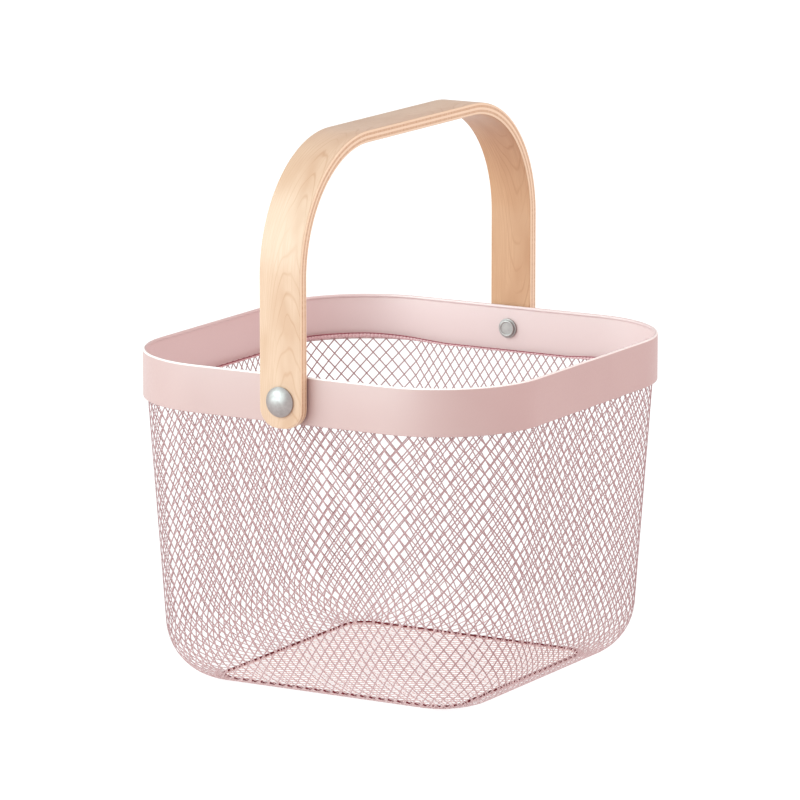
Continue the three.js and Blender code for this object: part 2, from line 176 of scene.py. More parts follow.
class NodeBoard:
    """A node tree with short ways to add nodes and join them."""

    def __init__(self, tree: bpy.types.NodeTree) -> None:
        """Takes over a tree and empties it."""
        self.tree = tree
        tree.nodes.clear()

    def feed(self, socket: Socket, value: Feed) -> None:
        """Links a socket from another, or sets its constant.

        Args:
            socket: The socket that takes the value.
            value: Another node's output, or the constant.
        """
        if isinstance(value, bpy.types.NodeSocket):
            self.tree.links.new(value, socket)
        else:
            socket.default_value = value

    def add(self, kind: str, feeds: Feeds | None = None, **settings: object) -> bpy.types.Node:
        """Adds a node.

        Args:
            kind: Blender's name for the type of node.
            feeds: What goes into its sockets, by index or name.
            settings: The node's own properties.

        Returns:
            The new node.
        """
        node = self.tree.nodes.new(kind)
        for name, value in settings.items():
            setattr(node, name, value)
        for key, value in (feeds or {}).items():
            self.feed(node.inputs[key], value)
        return node

    def out(self, kind: str, feeds: Feeds | None = None, **settings: object) -> Socket:
        """Adds a node in the same way, and returns its first output."""
        return self.add(kind, feeds, **settings).outputs[0]

    def math(self, operation: str, first: Feed, second: Feed = 0.0) -> Socket:
        """Adds a Math node and returns its result."""
        return self.out("ShaderNodeMath", {0: first, 1: second}, operation=operation)

    def plus(self, first: Feed, second: Feed) -> Socket:
        """Adds two numbers."""
        return self.math("ADD", first, second)

    def minus(self, first: Feed, second: Feed) -> Socket:
        """Takes the second number from the first."""
        return self.math("SUBTRACT", first, second)

    def times(self, first: Feed, second: Feed) -> Socket:
        """Multiplies two numbers."""
        return self.math("MULTIPLY", first, second)

    def over(self, first: Feed, second: Feed) -> Socket:
        """Divides the first number by the second."""
        return self.math("DIVIDE", first, second)

    def vector(self, operation: str, first: Feed, second: Feed = (0.0, 0.0, 0.0)) -> Socket:
        """Adds a Vector Math node and returns its vector."""
        return self.out("ShaderNodeVectorMath", {0: first, 1: second}, operation=operation)

    def scaled(self, vector: Feed, factor: Feed) -> Socket:
        """Scales a vector by one number."""
        return self.out("ShaderNodeVectorMath", {0: vector, "Scale": factor}, operation="SCALE")

    def length(self, vector: Feed) -> Socket:
        """Measures a vector."""
        return self.add("ShaderNodeVectorMath", {0: vector}, operation="LENGTH").outputs["Value"]

    def joined(self, x: Feed = 0.0, y: Feed = 0.0, z: Feed = 0.0) -> Socket:
        """Joins three numbers into a vector."""
        return self.out("ShaderNodeCombineXYZ", {0: x, 1: y, 2: z})

    def parted(self, vector: Feed) -> bpy.types.bpy_prop_collection:
        """Parts a vector into its X, Y and Z outputs."""
        return self.add("ShaderNodeSeparateXYZ", {0: vector}).outputs


class ShaderBoard(NodeBoard):
    """A material's node tree with one Principled shader."""

    def __init__(self, name: str) -> None:
        """Makes a material with its shader and output.

        Args:
            name: The material's name.
        """
        self.material = bpy.data.materials.new(name)
        self.material.use_nodes = True
        super().__init__(self.material.node_tree)
        self.shader = self.add("ShaderNodeBsdfPrincipled")
        self.add("ShaderNodeOutputMaterial", {"Surface": self.shader.outputs[0]})

    def set(self, **constants: Feed) -> None:
        """Sets or links sockets of the shader, with underscores for the spaces in their names."""
        for name, value in constants.items():
            self.feed(self.shader.inputs[name.replace("_", " ")], value)

    def place(self) -> Socket:
        """The point on the piece, in the frame's metres."""
        return self.add("ShaderNodeTexCoord").outputs["Object"]

    def uv(self, name: str) -> Socket:
        """A UV map of the piece."""
        return self.out("ShaderNodeUVMap", uv_map=name)

    def noise(self, place: Feed, size: float | Triple, detail: float = 2.0) -> Socket:
        """Adds a soft noise.

        Args:
            place: The point at which it is read.
            size: About how long its patches are, in all or along each axis.
            detail: How many finer layers it has.

        Returns:
            The noise, mostly between 0.3 and 0.7.
        """
        sizes = size if isinstance(size, tuple) else (size,) * 3
        stretched = self.vector("DIVIDE", place, sizes)
        return self.out("ShaderNodeTexNoise", {"Vector": stretched, "Scale": 1.0, "Detail": detail})

    def span(self, value: Feed, source: Span, target: Span = WHOLE) -> Socket:
        """Maps one stretch of numbers onto another, and holds what lies outside at its ends."""
        feeds = {0: value, 1: source[0], 2: source[1], 3: target[0], 4: target[1]}
        return self.out("ShaderNodeMapRange", feeds)

    def tint(self, share: Feed, first: Feed, second: Feed) -> Socket:
        """Mixes two colours."""
        node = self.add("ShaderNodeMix", {0: share, 6: first, 7: second}, data_type="RGBA")
        return node.outputs[2]

    def bump(self, height: Feed, depth: float, under: Socket | None = None) -> Socket:
        """Raises the surface by up to a depth in metres, over another bump if there is one.

        Args:
            height: How high each point stands, from 0 to 1.
            depth: How far a height of 1 rises, in metres.
            under: The bump that this one lies over, if there is one.

        Returns:
            The surface's new normal.
        """
        node = self.add("ShaderNodeBump", {"Strength": 1.0, "Distance": depth, "Height": height})
        if under is not None:
            self.feed(node.inputs["Normal"], under)
        return node.outputs[0]


@dataclass(frozen=True)
class Finish:
    """What every finish has: a name, and a way to paint a shader."""

    name: str

    def paint(self, board: ShaderBoard) -> None:
        """Builds the finish on a board. Each finish has its own."""
        raise NotImplementedError

    def material(self) -> bpy.types.Material:
        """Makes the finish's material.

        Returns:
            The painted material.
        """
        board = ShaderBoard(self.name)
        self.paint(board)
        return board.material


@dataclass(frozen=True)
class PowderCoat(Finish):
    """Satin powder coat on steel, with a fine orange peel and slow clouds in its tone."""

    colour: Colour
    shade: Colour
    roughness: Span = (0.39, 0.5)
    gloss: float = 0.5
    cloud: float = 55 * MM
    peel: float = 1.3 * MM
    peel_depth: float = 0.012 * MM
    flecks_across_peel: int = 3
    fleck_share: float = 0.35

    def tone(self, board: ShaderBoard, place: Socket) -> Socket:
        """The coat's colour at a place, with its clouds and flecks.

        Args:
            board: The material's board.
            place: The point on the piece.

        Returns:
            The colour.
        """
        cloud = board.span(board.noise(place, self.cloud), NOISE_MIDDLE)
        flecks = board.noise(place, self.peel / self.flecks_across_peel)
        fleck = board.span(flecks, NOISE_RANGE, (0.0, self.fleck_share))
        return board.tint(board.math("MAXIMUM", cloud, fleck), self.colour, self.shade)

    def paint(self, board: ShaderBoard) -> None:
        """Builds the coat's colour, gloss and peel.

        Args:
            board: The material's board.
        """
        place = board.place()
        peel = board.noise(place, self.peel, detail=1.0)
        board.set(
            Base_Color=self.tone(board, place),
            Roughness=board.span(peel, NOISE_RANGE, self.roughness),
            Normal=board.bump(peel, self.peel_depth),
            Specular_IOR_Level=self.gloss,
        )


@dataclass(frozen=True, kw_only=True)
class BandCoat(PowderCoat):
    """The coat of the rim's strip, with painted light: a paler tone on its inner faces as painted fill
    light, and a painted highlight along the top of the bead.

    The attribute "inner" is 1 on the faces that look into the basket.
    """

    # Painted fill light: the paler colour of the faces that look into the basket.
    inside: Colour
    # The edge colour is a painted highlight along the top of the bead; the two sizes below place it and
    # fade it in.
    edge: Colour
    highlight_height: float
    highlight_fade: float = 0.9 * MM

    def tone(self, board: ShaderBoard, place: Socket) -> Socket:
        """The coat's colour at a place, with the painted fill light inside and the painted highlight on the
        bead.

        Args:
            board: The material's board.
            place: The point on the piece.

        Returns:
            The colour.
        """
        # Painted fill light on the faces that look into the basket.
        inner = board.add("ShaderNodeAttribute", attribute_name="inner").outputs["Fac"]
        body = board.tint(inner, super().tone(board, place), self.inside)
        # Painted highlight along the top of the bead, on the outer faces only.
        start = self.highlight_height - self.highlight_fade
        highlight_share = board.span(board.parted(place)[2], (start, start + self.highlight_fade / 2))
        return board.tint(board.minus(highlight_share, inner), body, self.edge)


@dataclass(frozen=True)
class StrandCoat(Finish):
    """Powder coat on the mesh, with painted light: a darker tone up the walls as painted shade, and a paler
    tone where they turn under and on the floor as painted light.
    """

    # Painted shade: the darker tone of the strands up the walls.
    upright: Colour
    # Painted light: the paler, lit tone where the walls turn under and on the floor.
    level: Colour
    roughness: Span = (0.44, 0.56)
    turn_top: float = 30 * MM
    turn_foot: float = 4 * MM
    mottle: float = 6 * MM

    def paint(self, board: ShaderBoard) -> None:
        """Builds the coat's painted shaded and lit tones, their mottling and the gloss.

        Args:
            board: The material's board.
        """
        place = board.place()
        mottle = board.noise(place, self.mottle)
        drift = board.span(mottle, NOISE_RANGE, (-self.turn_foot, self.turn_foot))
        height = board.plus(board.parted(place)[2], drift)
        # Share of the painted lit tone, from the height up the wall.
        share = board.span(height, (self.turn_foot, self.turn_top), (1.0, 0.0))
        board.set(
            Base_Color=board.tint(share, self.upright, self.level),
            Roughness=board.span(mottle, NOISE_RANGE, self.roughness),
        )


@dataclass(frozen=True)
class Figure:
    """A soft pattern in the wood: the size of its patches along and across the strap, and its reach."""

    along: float
    across: float
    detail: float
    source: Span = NOISE_MIDDLE
    target: Span = WHOLE

    def raw(self, board: ShaderBoard, strap: Socket) -> Socket:
        """The pattern's noise at a point of the strap."""
        return board.noise(strap, (self.along, self.across, 1.0), self.detail)

    def at(self, board: ShaderBoard, strap: Socket) -> Socket:
        """The pattern at a point of the strap, within its reach."""
        return board.span(self.raw(board, strap), self.source, self.target)


@dataclass(frozen=True)
class Plywood(Finish):
    """Lacquered birch plywood, read from the strap's two UV maps.

    The map "strap" holds the distance along and across the strap in metres. The map "ply" holds
    the share of the thickness, from the inner face to the outer one.
    """

    plies: int
    outer: Colour
    inner: Colour
    darkening: Triple
    pale_edge: Colour
    tan_edge: Colour
    roughness: Span = (0.37, 0.5)
    lacquer: float = 0.5
    lacquer_roughness: float = 0.3
    gloss: float = 0.25
    face_share: float = 0.03
    veneer_change: Span = (0.4, 0.6)
    ring_pitch: float = 15 * MM
    ring_fade: float = 0.2
    heart: float = 6 * MM
    arch_width: float = 13 * MM
    arch_height: float = 62 * MM
    drift: Figure = Figure(70 * MM, 16 * MM, 2.0, WHOLE, (0.0, 3.4))
    fade: Figure = Figure(45 * MM, 14 * MM, 1.0, NOISE_MIDDLE, (0.35, 0.85))
    streak: Figure = Figure(40 * MM, 0.9 * MM, 3.0, (0.4, 0.7), (0.0, 0.42))
    patch: Figure = Figure(42 * MM, 13 * MM, 2.0, (0.38, 0.68), (0.0, 0.55))
    speck: Figure = Figure(1.6 * MM, 0.7 * MM, 2.0, NOISE_MIDDLE, (0.6, 1.0))
    pore: Figure = Figure(7 * MM, 0.35 * MM, 2.0)
    pore_depth: float = 0.02 * MM
    seam_share: float = 0.12
    seam_depth: float = 0.06 * MM

    def grain(self, board: ShaderBoard, strap: Socket) -> Socket:
        """How dark the veneer is: flame-shaped rings, fine streaks and slow patches.

        Args:
            board: The material's board.
            strap: The point along and across the strap.

        Returns:
            A share from 0 to about 0.85.
        """
        along, across, _ = board.parted(strap)
        off = board.over(board.plus(across, self.heart), self.arch_width)
        bow = board.times(board.times(off, off), self.arch_height)
        climb = board.over(board.plus(along, bow), self.ring_pitch)
        half_ring = 0.5
        rings = board.math("PINGPONG", board.plus(climb, self.drift.at(board, strap)), half_ring)
        line = board.span(rings, (0.0, self.ring_fade), (1.0, 0.0))
        flame = board.times(line, self.fade.at(board, strap))
        fine = board.math("MAXIMUM", flame, self.streak.at(board, strap))
        return board.math("MAXIMUM", fine, self.patch.at(board, strap))

    def paint(self, board: ShaderBoard) -> None:
        """Builds the two veneers, the layers on the edges and the lacquer.

        Args:
            board: The material's board.
        """
        strap = board.uv("strap")
        below_top, half = 0.999, 0.5
        depth = board.math("MINIMUM", board.parted(board.uv("ply"))[0], below_top)
        veneer = board.tint(board.span(depth, self.veneer_change), self.inner, self.outer)
        dark = board.vector("MULTIPLY", veneer, self.darkening)
        face = board.tint(self.grain(board, strap), veneer, dark)

        layer = board.times(depth, float(self.plies))
        crossed = board.math("MODULO", board.math("FLOOR", layer), 2.0)
        speckled = board.times(crossed, self.speck.at(board, strap))
        edge = board.tint(speckled, self.pale_edge, self.tan_edge)
        off_middle = board.math("ABSOLUTE", board.minus(depth, half))
        on_face = board.math("GREATER_THAN", off_middle, half - self.face_share)

        pore = self.pore.raw(board, strap)
        glued = board.math("MINIMUM", board.math("MAXIMUM", layer, half), self.plies - half)
        seam = board.math("ABSOLUTE", board.minus(glued, board.math("ROUND", glued)))
        groove = board.bump(board.span(seam, (0.0, self.seam_share)), self.seam_depth)
        board.set(
            Base_Color=board.tint(on_face, edge, face),
            Roughness=board.span(pore, self.pore.source, self.roughness),
            Normal=board.bump(pore, self.pore_depth, groove),
            Coat_Weight=self.lacquer,
            Coat_Roughness=self.lacquer_roughness,
            Specular_IOR_Level=self.gloss,
        )


@dataclass(frozen=True)
class SpunSteel(Finish):
    """Satin steel, turned about an axis along X, with fine rings and faint handling marks."""

    colour: Colour
    shade: Colour
    axis_height: float
    roughness: Span = (0.45, 0.59)
    ring: float = 0.16 * MM
    ring_depth: float = 0.0025 * MM
    mark: float = 2.6 * MM
    mark_depth: float = 0.01 * MM

    def paint(self, board: ShaderBoard) -> None:
        """Builds the rings, the marks and the metal.

        Args:
            board: The material's board.
        """
        place = board.place()
        centred = board.vector("SUBTRACT", place, (0.0, 0.0, self.axis_height))
        radius = board.length(board.vector("MULTIPLY", centred, (0.0, 1.0, 1.0)))
        rings = board.noise(board.joined(radius), self.ring)
        marks = board.noise(place, self.mark, detail=3.0)
        board.set(
            Base_Color=board.tint(board.span(marks, NOISE_MIDDLE), self.colour, self.shade),
            Roughness=board.span(marks, NOISE_RANGE, self.roughness),
            Metallic=1.0,
            Normal=board.bump(rings, self.ring_depth, board.bump(marks, self.mark_depth)),
        )


@dataclass(frozen=True)
class Nylon(Finish):
    """Natural nylon, moulded, with a fine matt skin."""

    colour: Colour
    shade: Colour
    roughness: Span = (0.45, 0.6)
    cloud: float = 4 * MM
    skin: float = 0.4 * MM
    skin_depth: float = 0.01 * MM

    def paint(self, board: ShaderBoard) -> None:
        """Builds the plastic's tone and skin.

        Args:
            board: The material's board.
        """
        place = board.place()
        cloud = board.span(board.noise(place, self.cloud), NOISE_MIDDLE)
        skin = board.noise(place, self.skin)
        board.set(
            Base_Color=board.tint(cloud, self.colour, self.shade),
            Roughness=board.span(skin, NOISE_RANGE, self.roughness),
            Normal=board.bump(skin, self.skin_depth),
        )


@dataclass(frozen=True)
class PaleFloor(Finish):
    """The studio's matt floor, which glows so that it stays white under the basket."""

    white: Colour = (0.16, 0.16, 0.16, 1.0)
    pale: Colour = (0.15, 0.15, 0.15, 1.0)
    cloud: float = 0.4
    roughness: float = 0.9
    glow: float = 0.88

    def paint(self, board: ShaderBoard) -> None:
        """Builds the floor's tone and glow.

        Args:
            board: The material's board.
        """
        cloud = board.noise(board.place(), self.cloud, detail=1.0)
        board.set(Base_Color=board.tint(cloud, self.white, self.pale), Roughness=self.roughness)
        board.set(Emission_Color=WHITE, Emission_Strength=self.glow)


class GeometryBoard(NodeBoard):
    """A Geometry Nodes tree with named inputs, which runs on a guide mesh."""

    def __init__(self, name: str) -> None:
        """Makes a tree with one geometry socket at each end.

        Args:
            name: The tree's name.
        """
        super().__init__(bpy.data.node_groups.new(name, "GeometryNodeTree"))
        for direction in ("INPUT", "OUTPUT"):
            self.tree.interface.new_socket("Geometry", in_out=direction, socket_type="NodeSocketGeometry")
        self.source = self.add("NodeGroupInput")
        self.guide = self.source.outputs["Geometry"]
        self.values: dict[str, float | int | Triple] = {}

    def input(self, name: str, kind: InputKind, value: float | int | Triple) -> Socket:
        """Adds a named input.

        Args:
            name: The input's name.
            kind: Its socket type.
            value: What the modifier sets it to.

        Returns:
            The input's socket inside the tree.
        """
        item = self.tree.interface.new_socket(name, in_out="INPUT", socket_type=kind.value)
        self.values[item.identifier] = value
        return self.source.outputs[name]

    def here(self) -> Socket:
        """Where each point lies."""
        return self.out("GeometryNodeInputPosition")

    def facing(self) -> Socket:
        """The direction that each point faces."""
        return self.out("GeometryNodeInputNormal")

    def attribute(self, name: str, kind: str) -> Socket:
        """A named attribute of the guide."""
        return self.out("GeometryNodeInputNamedAttribute", {0: name}, data_type=kind)

    def turn(self, along: Feed, across: Feed) -> Socket:
        """The rotation that lays a part's Z along one direction and its X towards another."""
        feeds = {0: along, 1: across}
        return self.out("FunctionNodeAxesToRotation", feeds, primary_axis="Z", secondary_axis="X")

    def moved(self, geometry: Socket, place: Socket) -> Socket:
        """Puts each point or copy at a place."""
        return self.out("GeometryNodeSetPosition", {"Geometry": geometry, "Position": place})

    def copies(self, points: Socket, part: Socket, **feeds: Feed) -> Socket:
        """Sets a copy of a part on each point, with other sockets of the node by name."""
        return self.out("GeometryNodeInstanceOnPoints", {"Points": points, "Instance": part, **feeds})

    def egg(self, segments: int, rings: int, halves: Feed) -> Socket:
        """A ball that is stretched to its half sizes along X, Y and Z.

        Args:
            segments: How many steps it has round its Z axis.
            rings: How many steps it has from pole to pole.
            halves: The half sizes.

        Returns:
            The stretched ball.
        """
        feeds = {"Segments": segments, "Rings": rings, "Radius": 1.0}
        ball = self.out("GeometryNodeMeshUVSphere", feeds)
        return self.out("GeometryNodeTransform", {"Geometry": ball, "Scale": halves})

    def guide_curve(self) -> Socket:
        """The guide's edges as a curve."""
        return self.out("GeometryNodeMeshToCurve", {0: self.guide})

    def swept(self, curve: Socket, section: Socket) -> Socket:
        """Sweeps a closed section along a curve, with closed ends."""
        feeds = {"Curve": curve, "Profile Curve": section, "Fill Caps": True}
        return self.out("GeometryNodeCurveToMesh", feeds)

    def realized(self, geometry: Socket) -> Socket:
        """Turns instances into geometry."""
        return self.out("GeometryNodeRealizeInstances", {0: geometry})

    def close(self, shapes: Sequence[Socket], finish: bpy.types.Material, smooth: bool) -> None:
        """Joins and realizes the shapes, and ends the tree.

        Args:
            shapes: The geometry sockets to join.
            finish: The material of the result.
            smooth: Whether its faces are shaded smooth.
        """
        join = self.add("GeometryNodeJoinGeometry")
        for shape in shapes:
            self.feed(join.inputs[0], shape)
        solid = self.realized(join.outputs[0])
        shaded = self.out("GeometryNodeSetShadeSmooth", {"Geometry": solid, "Shade Smooth": smooth})
        painted = self.out("GeometryNodeSetMaterial", {"Geometry": shaded, "Material": finish})
        self.add("NodeGroupOutput", {0: painted})

    def run(self, guide: bpy.types.Mesh) -> bpy.types.Mesh:
        """Runs the tree on a guide and keeps the result as a plain mesh.

        Args:
            guide: The mesh that goes in.

        Returns:
            The mesh that comes out, with its material.
        """
        holder = placed(self.tree.name, guide)
        modifier = holder.modifiers.new(self.tree.name, "NODES")
        modifier.node_group = self.tree
        for identifier, value in self.values.items():
            modifier[identifier] = value
        return applied(holder)


@dataclass
class Shell:
    """Points and faces of a mesh before Blender has it."""

    points: np.ndarray
    faces: Faces
    uvs: dict[str, np.ndarray] = field(default_factory=dict)

    def mesh(self, name: str, crisp: float | None = None) -> bpy.types.Mesh:
        """Makes a Blender mesh.

        Args:
            name: The mesh's name.
            crisp: Angle in degrees past which an edge is kept crisp, or None for flat faces.

        Returns:
            The mesh, with a UV map for each set of UVs.
        """
        made = bpy.data.meshes.new(name)
        made.from_pydata(self.points.tolist(), [], self.faces)
        corners = np.empty(len(made.loops), dtype=np.int32)
        made.loops.foreach_get("vertex_index", corners)
        for layer, values in self.uvs.items():
            flat = values[corners].astype(np.float32).ravel()
            made.uv_layers.new(name=layer).data.foreach_set("uv", flat)
        if crisp is not None:
            made.shade_smooth()
            made.set_sharp_from_angle(angle=math.radians(crisp))
        made.update()
        return made


def quads(rows: int, columns: int, rows_meet: bool = False, columns_meet: bool = True) -> Faces:
    """Quads between rows of points that are laid end to end.

    Args:
        rows: How many rows there are.
        columns: How many points each row has.
        rows_meet: Whether the last row joins the first.
        columns_meet: Whether each row's last point joins its first.

    Returns:
        The quads, as indices of their points.
    """
    faces = []
    for row in range(rows if rows_meet else rows - 1):
        start, above = row * columns, (row + 1) % rows * columns
        for k in range(columns if columns_meet else columns - 1):
            m = (k + 1) % columns
            faces.append((start + k, start + m, above + m, above + k))
    return faces


def with_column(rows: np.ndarray, number: float) -> np.ndarray:
    """Adds a last column that holds one number to rows of points."""
    return np.column_stack([rows, np.full(len(rows), number)])


def round_angles(steps: int) -> np.ndarray:
    """Even angles round a full turn, from 0."""
    return np.arange(steps) / steps * FULL_TURN


@dataclass(frozen=True)
class RoundedSquare:
    """A rounded rectangle about the Z axis."""

    half_x: float
    half_y: float
    corner: float

    @property
    def flats(self) -> tuple[float, float]:
        """Half the length of the straights along X and along Y."""
        return self.half_x - self.corner, self.half_y - self.corner

    @property
    def quarter(self) -> float:
        """Length of a quarter of the outline."""
        return sum(self.flats) + self.corner * QUARTER_TURN

    def inset(self, by: float) -> "RoundedSquare":
        """The same outline, moved inwards."""
        return RoundedSquare(self.half_x - by, self.half_y - by, self.corner - by)

    def at(self, turn: np.ndarray, corner_share: float | None = None) -> np.ndarray:
        """Points round the outline.

        Args:
            turn: Shares of a full turn from +X, counterclockwise.
            corner_share: Share of a quarter turn that its corner takes, or None for even distances.

        Returns:
            An array of X and Y for each share.
        """
        flat_x, flat_y = self.flats
        first, bend = flat_y / self.quarter, self.corner * QUARTER_TURN / self.quarter
        if corner_share is not None:
            first, bend = (1 - corner_share) / 2, corner_share
        quarters = 4 * (turn - np.floor(turn))
        quarter = np.floor(quarters).astype(int)
        part = np.where(quarter % 2, 1 - (quarters - quarter), quarters - quarter)
        angle = np.clip((part - first) / bend, 0, 1) * QUARTER_TURN
        x = np.minimum((1 - part) / (1 - first - bend), 1) * flat_x + self.corner * np.cos(angle)
        y = np.minimum(part / first, 1) * flat_y + self.corner * np.sin(angle)
        x = np.where((quarter == 1) | (quarter == 2), -x, x)
        return np.stack([x, np.where(quarter >= 2, -y, y)], axis=-1)

    def loop(self, corner_steps: int, side_steps: int) -> np.ndarray:
        """Points round the outline that hit each end of its arcs.

        Args:
            corner_steps: Steps round each corner.
            side_steps: Steps along each half of a straight side.

        Returns:
            An array of X and Y, counterclockwise from the middle of the +X side.
        """
        flat_x, flat_y = self.flats
        rise = np.arange(side_steps) / side_steps
        angle = np.arange(corner_steps) / corner_steps * QUARTER_TURN
        arc = np.column_stack([flat_x + self.corner * np.cos(angle), flat_y + self.corner * np.sin(angle)])
        quarter = np.concatenate([
            np.column_stack([np.full(side_steps, self.half_x), rise * flat_y]),
            arc,
            with_column((1 - rise) * flat_x, self.half_y),
            [[0.0, self.half_y]],
        ])
        upper = np.concatenate([quarter, quarter[-2::-1] * (-1, 1)])
        return np.concatenate([upper, upper[1:-1] * -1])

    def sweep(self, section: np.ndarray, corner_steps: int, side_steps: int) -> Shell:
        """Runs a closed section round the outline.

        Args:
            section: Rows of inset and height, up the outside and down the inside.
            corner_steps: Steps round each corner.
            side_steps: Steps along each half of a straight side.

        Returns:
            The closed shell.
        """
        rings = []
        for inset, height in section:
            rings.append(with_column(self.inset(inset).loop(corner_steps, side_steps), height))
        return Shell(np.concatenate(rings), quads(len(rings), len(rings[0]), rows_meet=True))


def turned(profile: Profile, height: float, side: Side, segments: int, closed: bool) -> Shell:
    """Turns a profile about the pivot's axis.

    Args:
        profile: Rows of radius and place along the axis, from the inner end to the outer one.
        height: Height of the axis.
        side: Which pivot it belongs to.
        segments: How many steps there are round the axis.
        closed: Whether the profile's last row joins its first.

    Returns:
        The shell, with one point where the profile meets the axis.
    """
    points: list[Triple] = []
    rings: list[range] = []
    for radius, place in profile:
        angles = round_angles(segments if radius > 0 else 1)
        rings.append(range(len(points), len(points) + len(angles)))
        for angle in angles:
            y, z = radius * math.cos(angle), radius * math.sin(angle)
            points.append((side.value * place, side.value * y, height + z))
    following = rings[1:] + rings[:1] if closed else rings[1:]
    faces = []
    for inner, outer in zip(rings, following):
        for k in range(segments):
            m = (k + 1) % segments
            low, low_next = inner[k % len(inner)], inner[m % len(inner)]
            high, high_next = outer[k % len(outer)], outer[m % len(outer)]
            faces.append(tuple(dict.fromkeys((low, low_next, high_next, high))))
    return Shell(np.array(points), faces)


def bored(mesh: bpy.types.Mesh, radius: float, height: float, crisp: float) -> bpy.types.Mesh:
    """Drills a bore along X through a mesh.

    Args:
        mesh: The closed mesh to drill.
        radius: The bore's radius.
        height: Height of its axis.
        crisp: Angle in degrees past which an edge is kept crisp.

    Returns:
        The drilled mesh.
    """
    reach, segments = 0.3, 64
    angle = round_angles(segments)
    ring = np.column_stack([radius * np.cos(angle), height + radius * np.sin(angle)])
    points = np.concatenate([np.column_stack([np.full(segments, x), ring]) for x in (-reach, reach)])
    ends = [tuple(range(segments - 1, -1, -1)), tuple(range(segments, 2 * segments))]
    cutter = placed("cutter", Shell(points, quads(2, segments) + ends).mesh("cutter"))
    holder = placed("drilled", mesh)
    modifier = holder.modifiers.new("bore", "BOOLEAN")
    modifier.operation, modifier.solver, modifier.object = "DIFFERENCE", "EXACT", cutter
    made = applied(holder)
    bpy.data.objects.remove(cutter)
    made.set_sharp_from_angle(angle=math.radians(crisp))
    return made


def dressed(
    name: str, mesh: bpy.types.Mesh, finish: bpy.types.Material, body: Body, slot: Slot, *nodes: str
) -> None:
    """Makes a piece of a mesh and sets it on the frame.

    Args:
        name: The piece's name.
        mesh: Its mesh, already in place.
        finish: Its material.
        body: The body that it rides on.
        slot: The record's material slot; not used.
        nodes: The CAD nodes that it stands for.
    """
    mesh.name = name
    mesh.materials.clear()
    mesh.materials.append(finish)
    piece = placed(name, mesh)
    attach(piece, body.value)
    if nodes:
        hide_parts(*nodes)
    log.info("%s: %d faces", name, len(mesh.polygons))


@dataclass(frozen=True)
class BasketForm:
    """The wall's shape: a rounded square that tapers from the rim to the base wire."""

    rim: RoundedSquare
    floor: RoundedSquare
    foot: float
    top: float
    base: float
    gauge: float = 1.2 * MM
    top_inset: float = 2.45 * MM
    top_rise: float = 4 * MM
    bend: float = 34 * MM

    @classmethod
    def from_frame(cls) -> "BasketForm":
        """Takes the rim's and the base wire's sizes from the frame.

        Returns:
            The form.
        """
        rim_corner, floor_corner = 62 * MM, 14 * MM
        low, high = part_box("rim_band")
        rim = RoundedSquare((high.x - low.x) / 2, (high.y - low.y) / 2, rim_corner)
        ring_low, ring_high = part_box("base_ring")
        wire = (ring_high.z - ring_low.z) / 2
        floor = RoundedSquare(ring_high.x - wire, ring_high.y - wire, floor_corner)
        return cls(rim, floor, low.z, high.z, ring_low.z + wire)

    @property
    def floor_inset(self) -> float:
        """How far the base wire lies inside the rim."""
        return self.rim.half_x - self.floor.half_x

    @property
    def slant(self) -> tuple[float, float]:
        """How far the wall's top edge lies outside the middle of its arc, and above it."""
        return self.floor_inset - self.top_inset, self.foot + self.top_rise - self.base - self.bend

    @property
    def taper(self) -> float:
        """Lean of the straight wall from upright."""
        out, rise = self.slant
        return math.atan2(out, rise) - math.asin(self.bend / math.hypot(out, rise))

    @property
    def arc(self) -> float:
        """Length of the arc at the wall's foot."""
        return self.bend * (QUARTER_TURN - self.taper)

    @property
    def length(self) -> float:
        """Length of the wall from the base wire's middle to its top edge."""
        out, rise = self.slant
        return self.arc + math.sqrt(out**2 + rise**2 - self.bend**2)

    def profile(self, distance: float) -> tuple[float, float]:
        """Inset and height at a distance up the wall: an arc, then a straight.

        Args:
            distance: Distance from the base wire's middle.

        Returns:
            The inset from the rim's outer face, and the height.
        """
        angle = min(distance, self.arc) / self.bend
        rest = max(distance - self.arc, 0)
        inset = self.floor_inset - self.bend * math.sin(angle) - rest * math.sin(self.taper)
        height = self.base + self.bend * (1 - math.cos(angle)) + rest * math.cos(self.taper)
        return inset, height

    def section(self, inset: float) -> RoundedSquare:
        """The wall's level section at an inset.

        Args:
            inset: The inset from the rim's outer face.

        Returns:
            The section's outline.
        """
        share = inset / self.floor_inset
        eased = share * share * (3 - 2 * share)
        shift = self.rim.half_y - self.floor.half_y - self.floor_inset
        widening = self.floor.corner - self.rim.corner + self.floor_inset
        return RoundedSquare(
            self.rim.half_x - inset,
            self.rim.half_y - inset - shift * eased,
            self.rim.corner - inset + widening * eased,
        )

    def guide(self, start: float, stop: float, corner_share: float) -> bpy.types.Mesh:
        """A fine sheet on the wall that strands are laid on.

        Args:
            start: Distance up the wall where its map reads 0.
            stop: Distance up the wall where its map reads 1.
            corner_share: Share of a quarter turn that its corner takes at every height.

        Returns:
            The sheet, whose UV map "wall" holds the share of a turn and the share of the height.
        """
        around, upward, spare, never_crisp = 528, 120, 2, 180
        turns = np.arange(-spare, around + spare + 1) / around
        rises = np.arange(-spare, upward + spare + 1) / upward
        rows, charts = [], []
        for rise in rises:
            inset, height = self.profile(start + (stop - start) * rise)
            rows.append(with_column(self.section(inset).at(turns, corner_share), height))
            charts.append(with_column(turns, rise))
        faces = quads(len(rises), len(turns), columns_meet=False)
        shell = Shell(np.concatenate(rows), faces, {"wall": np.concatenate(charts)})
        return shell.mesh("wall guide", never_crisp)


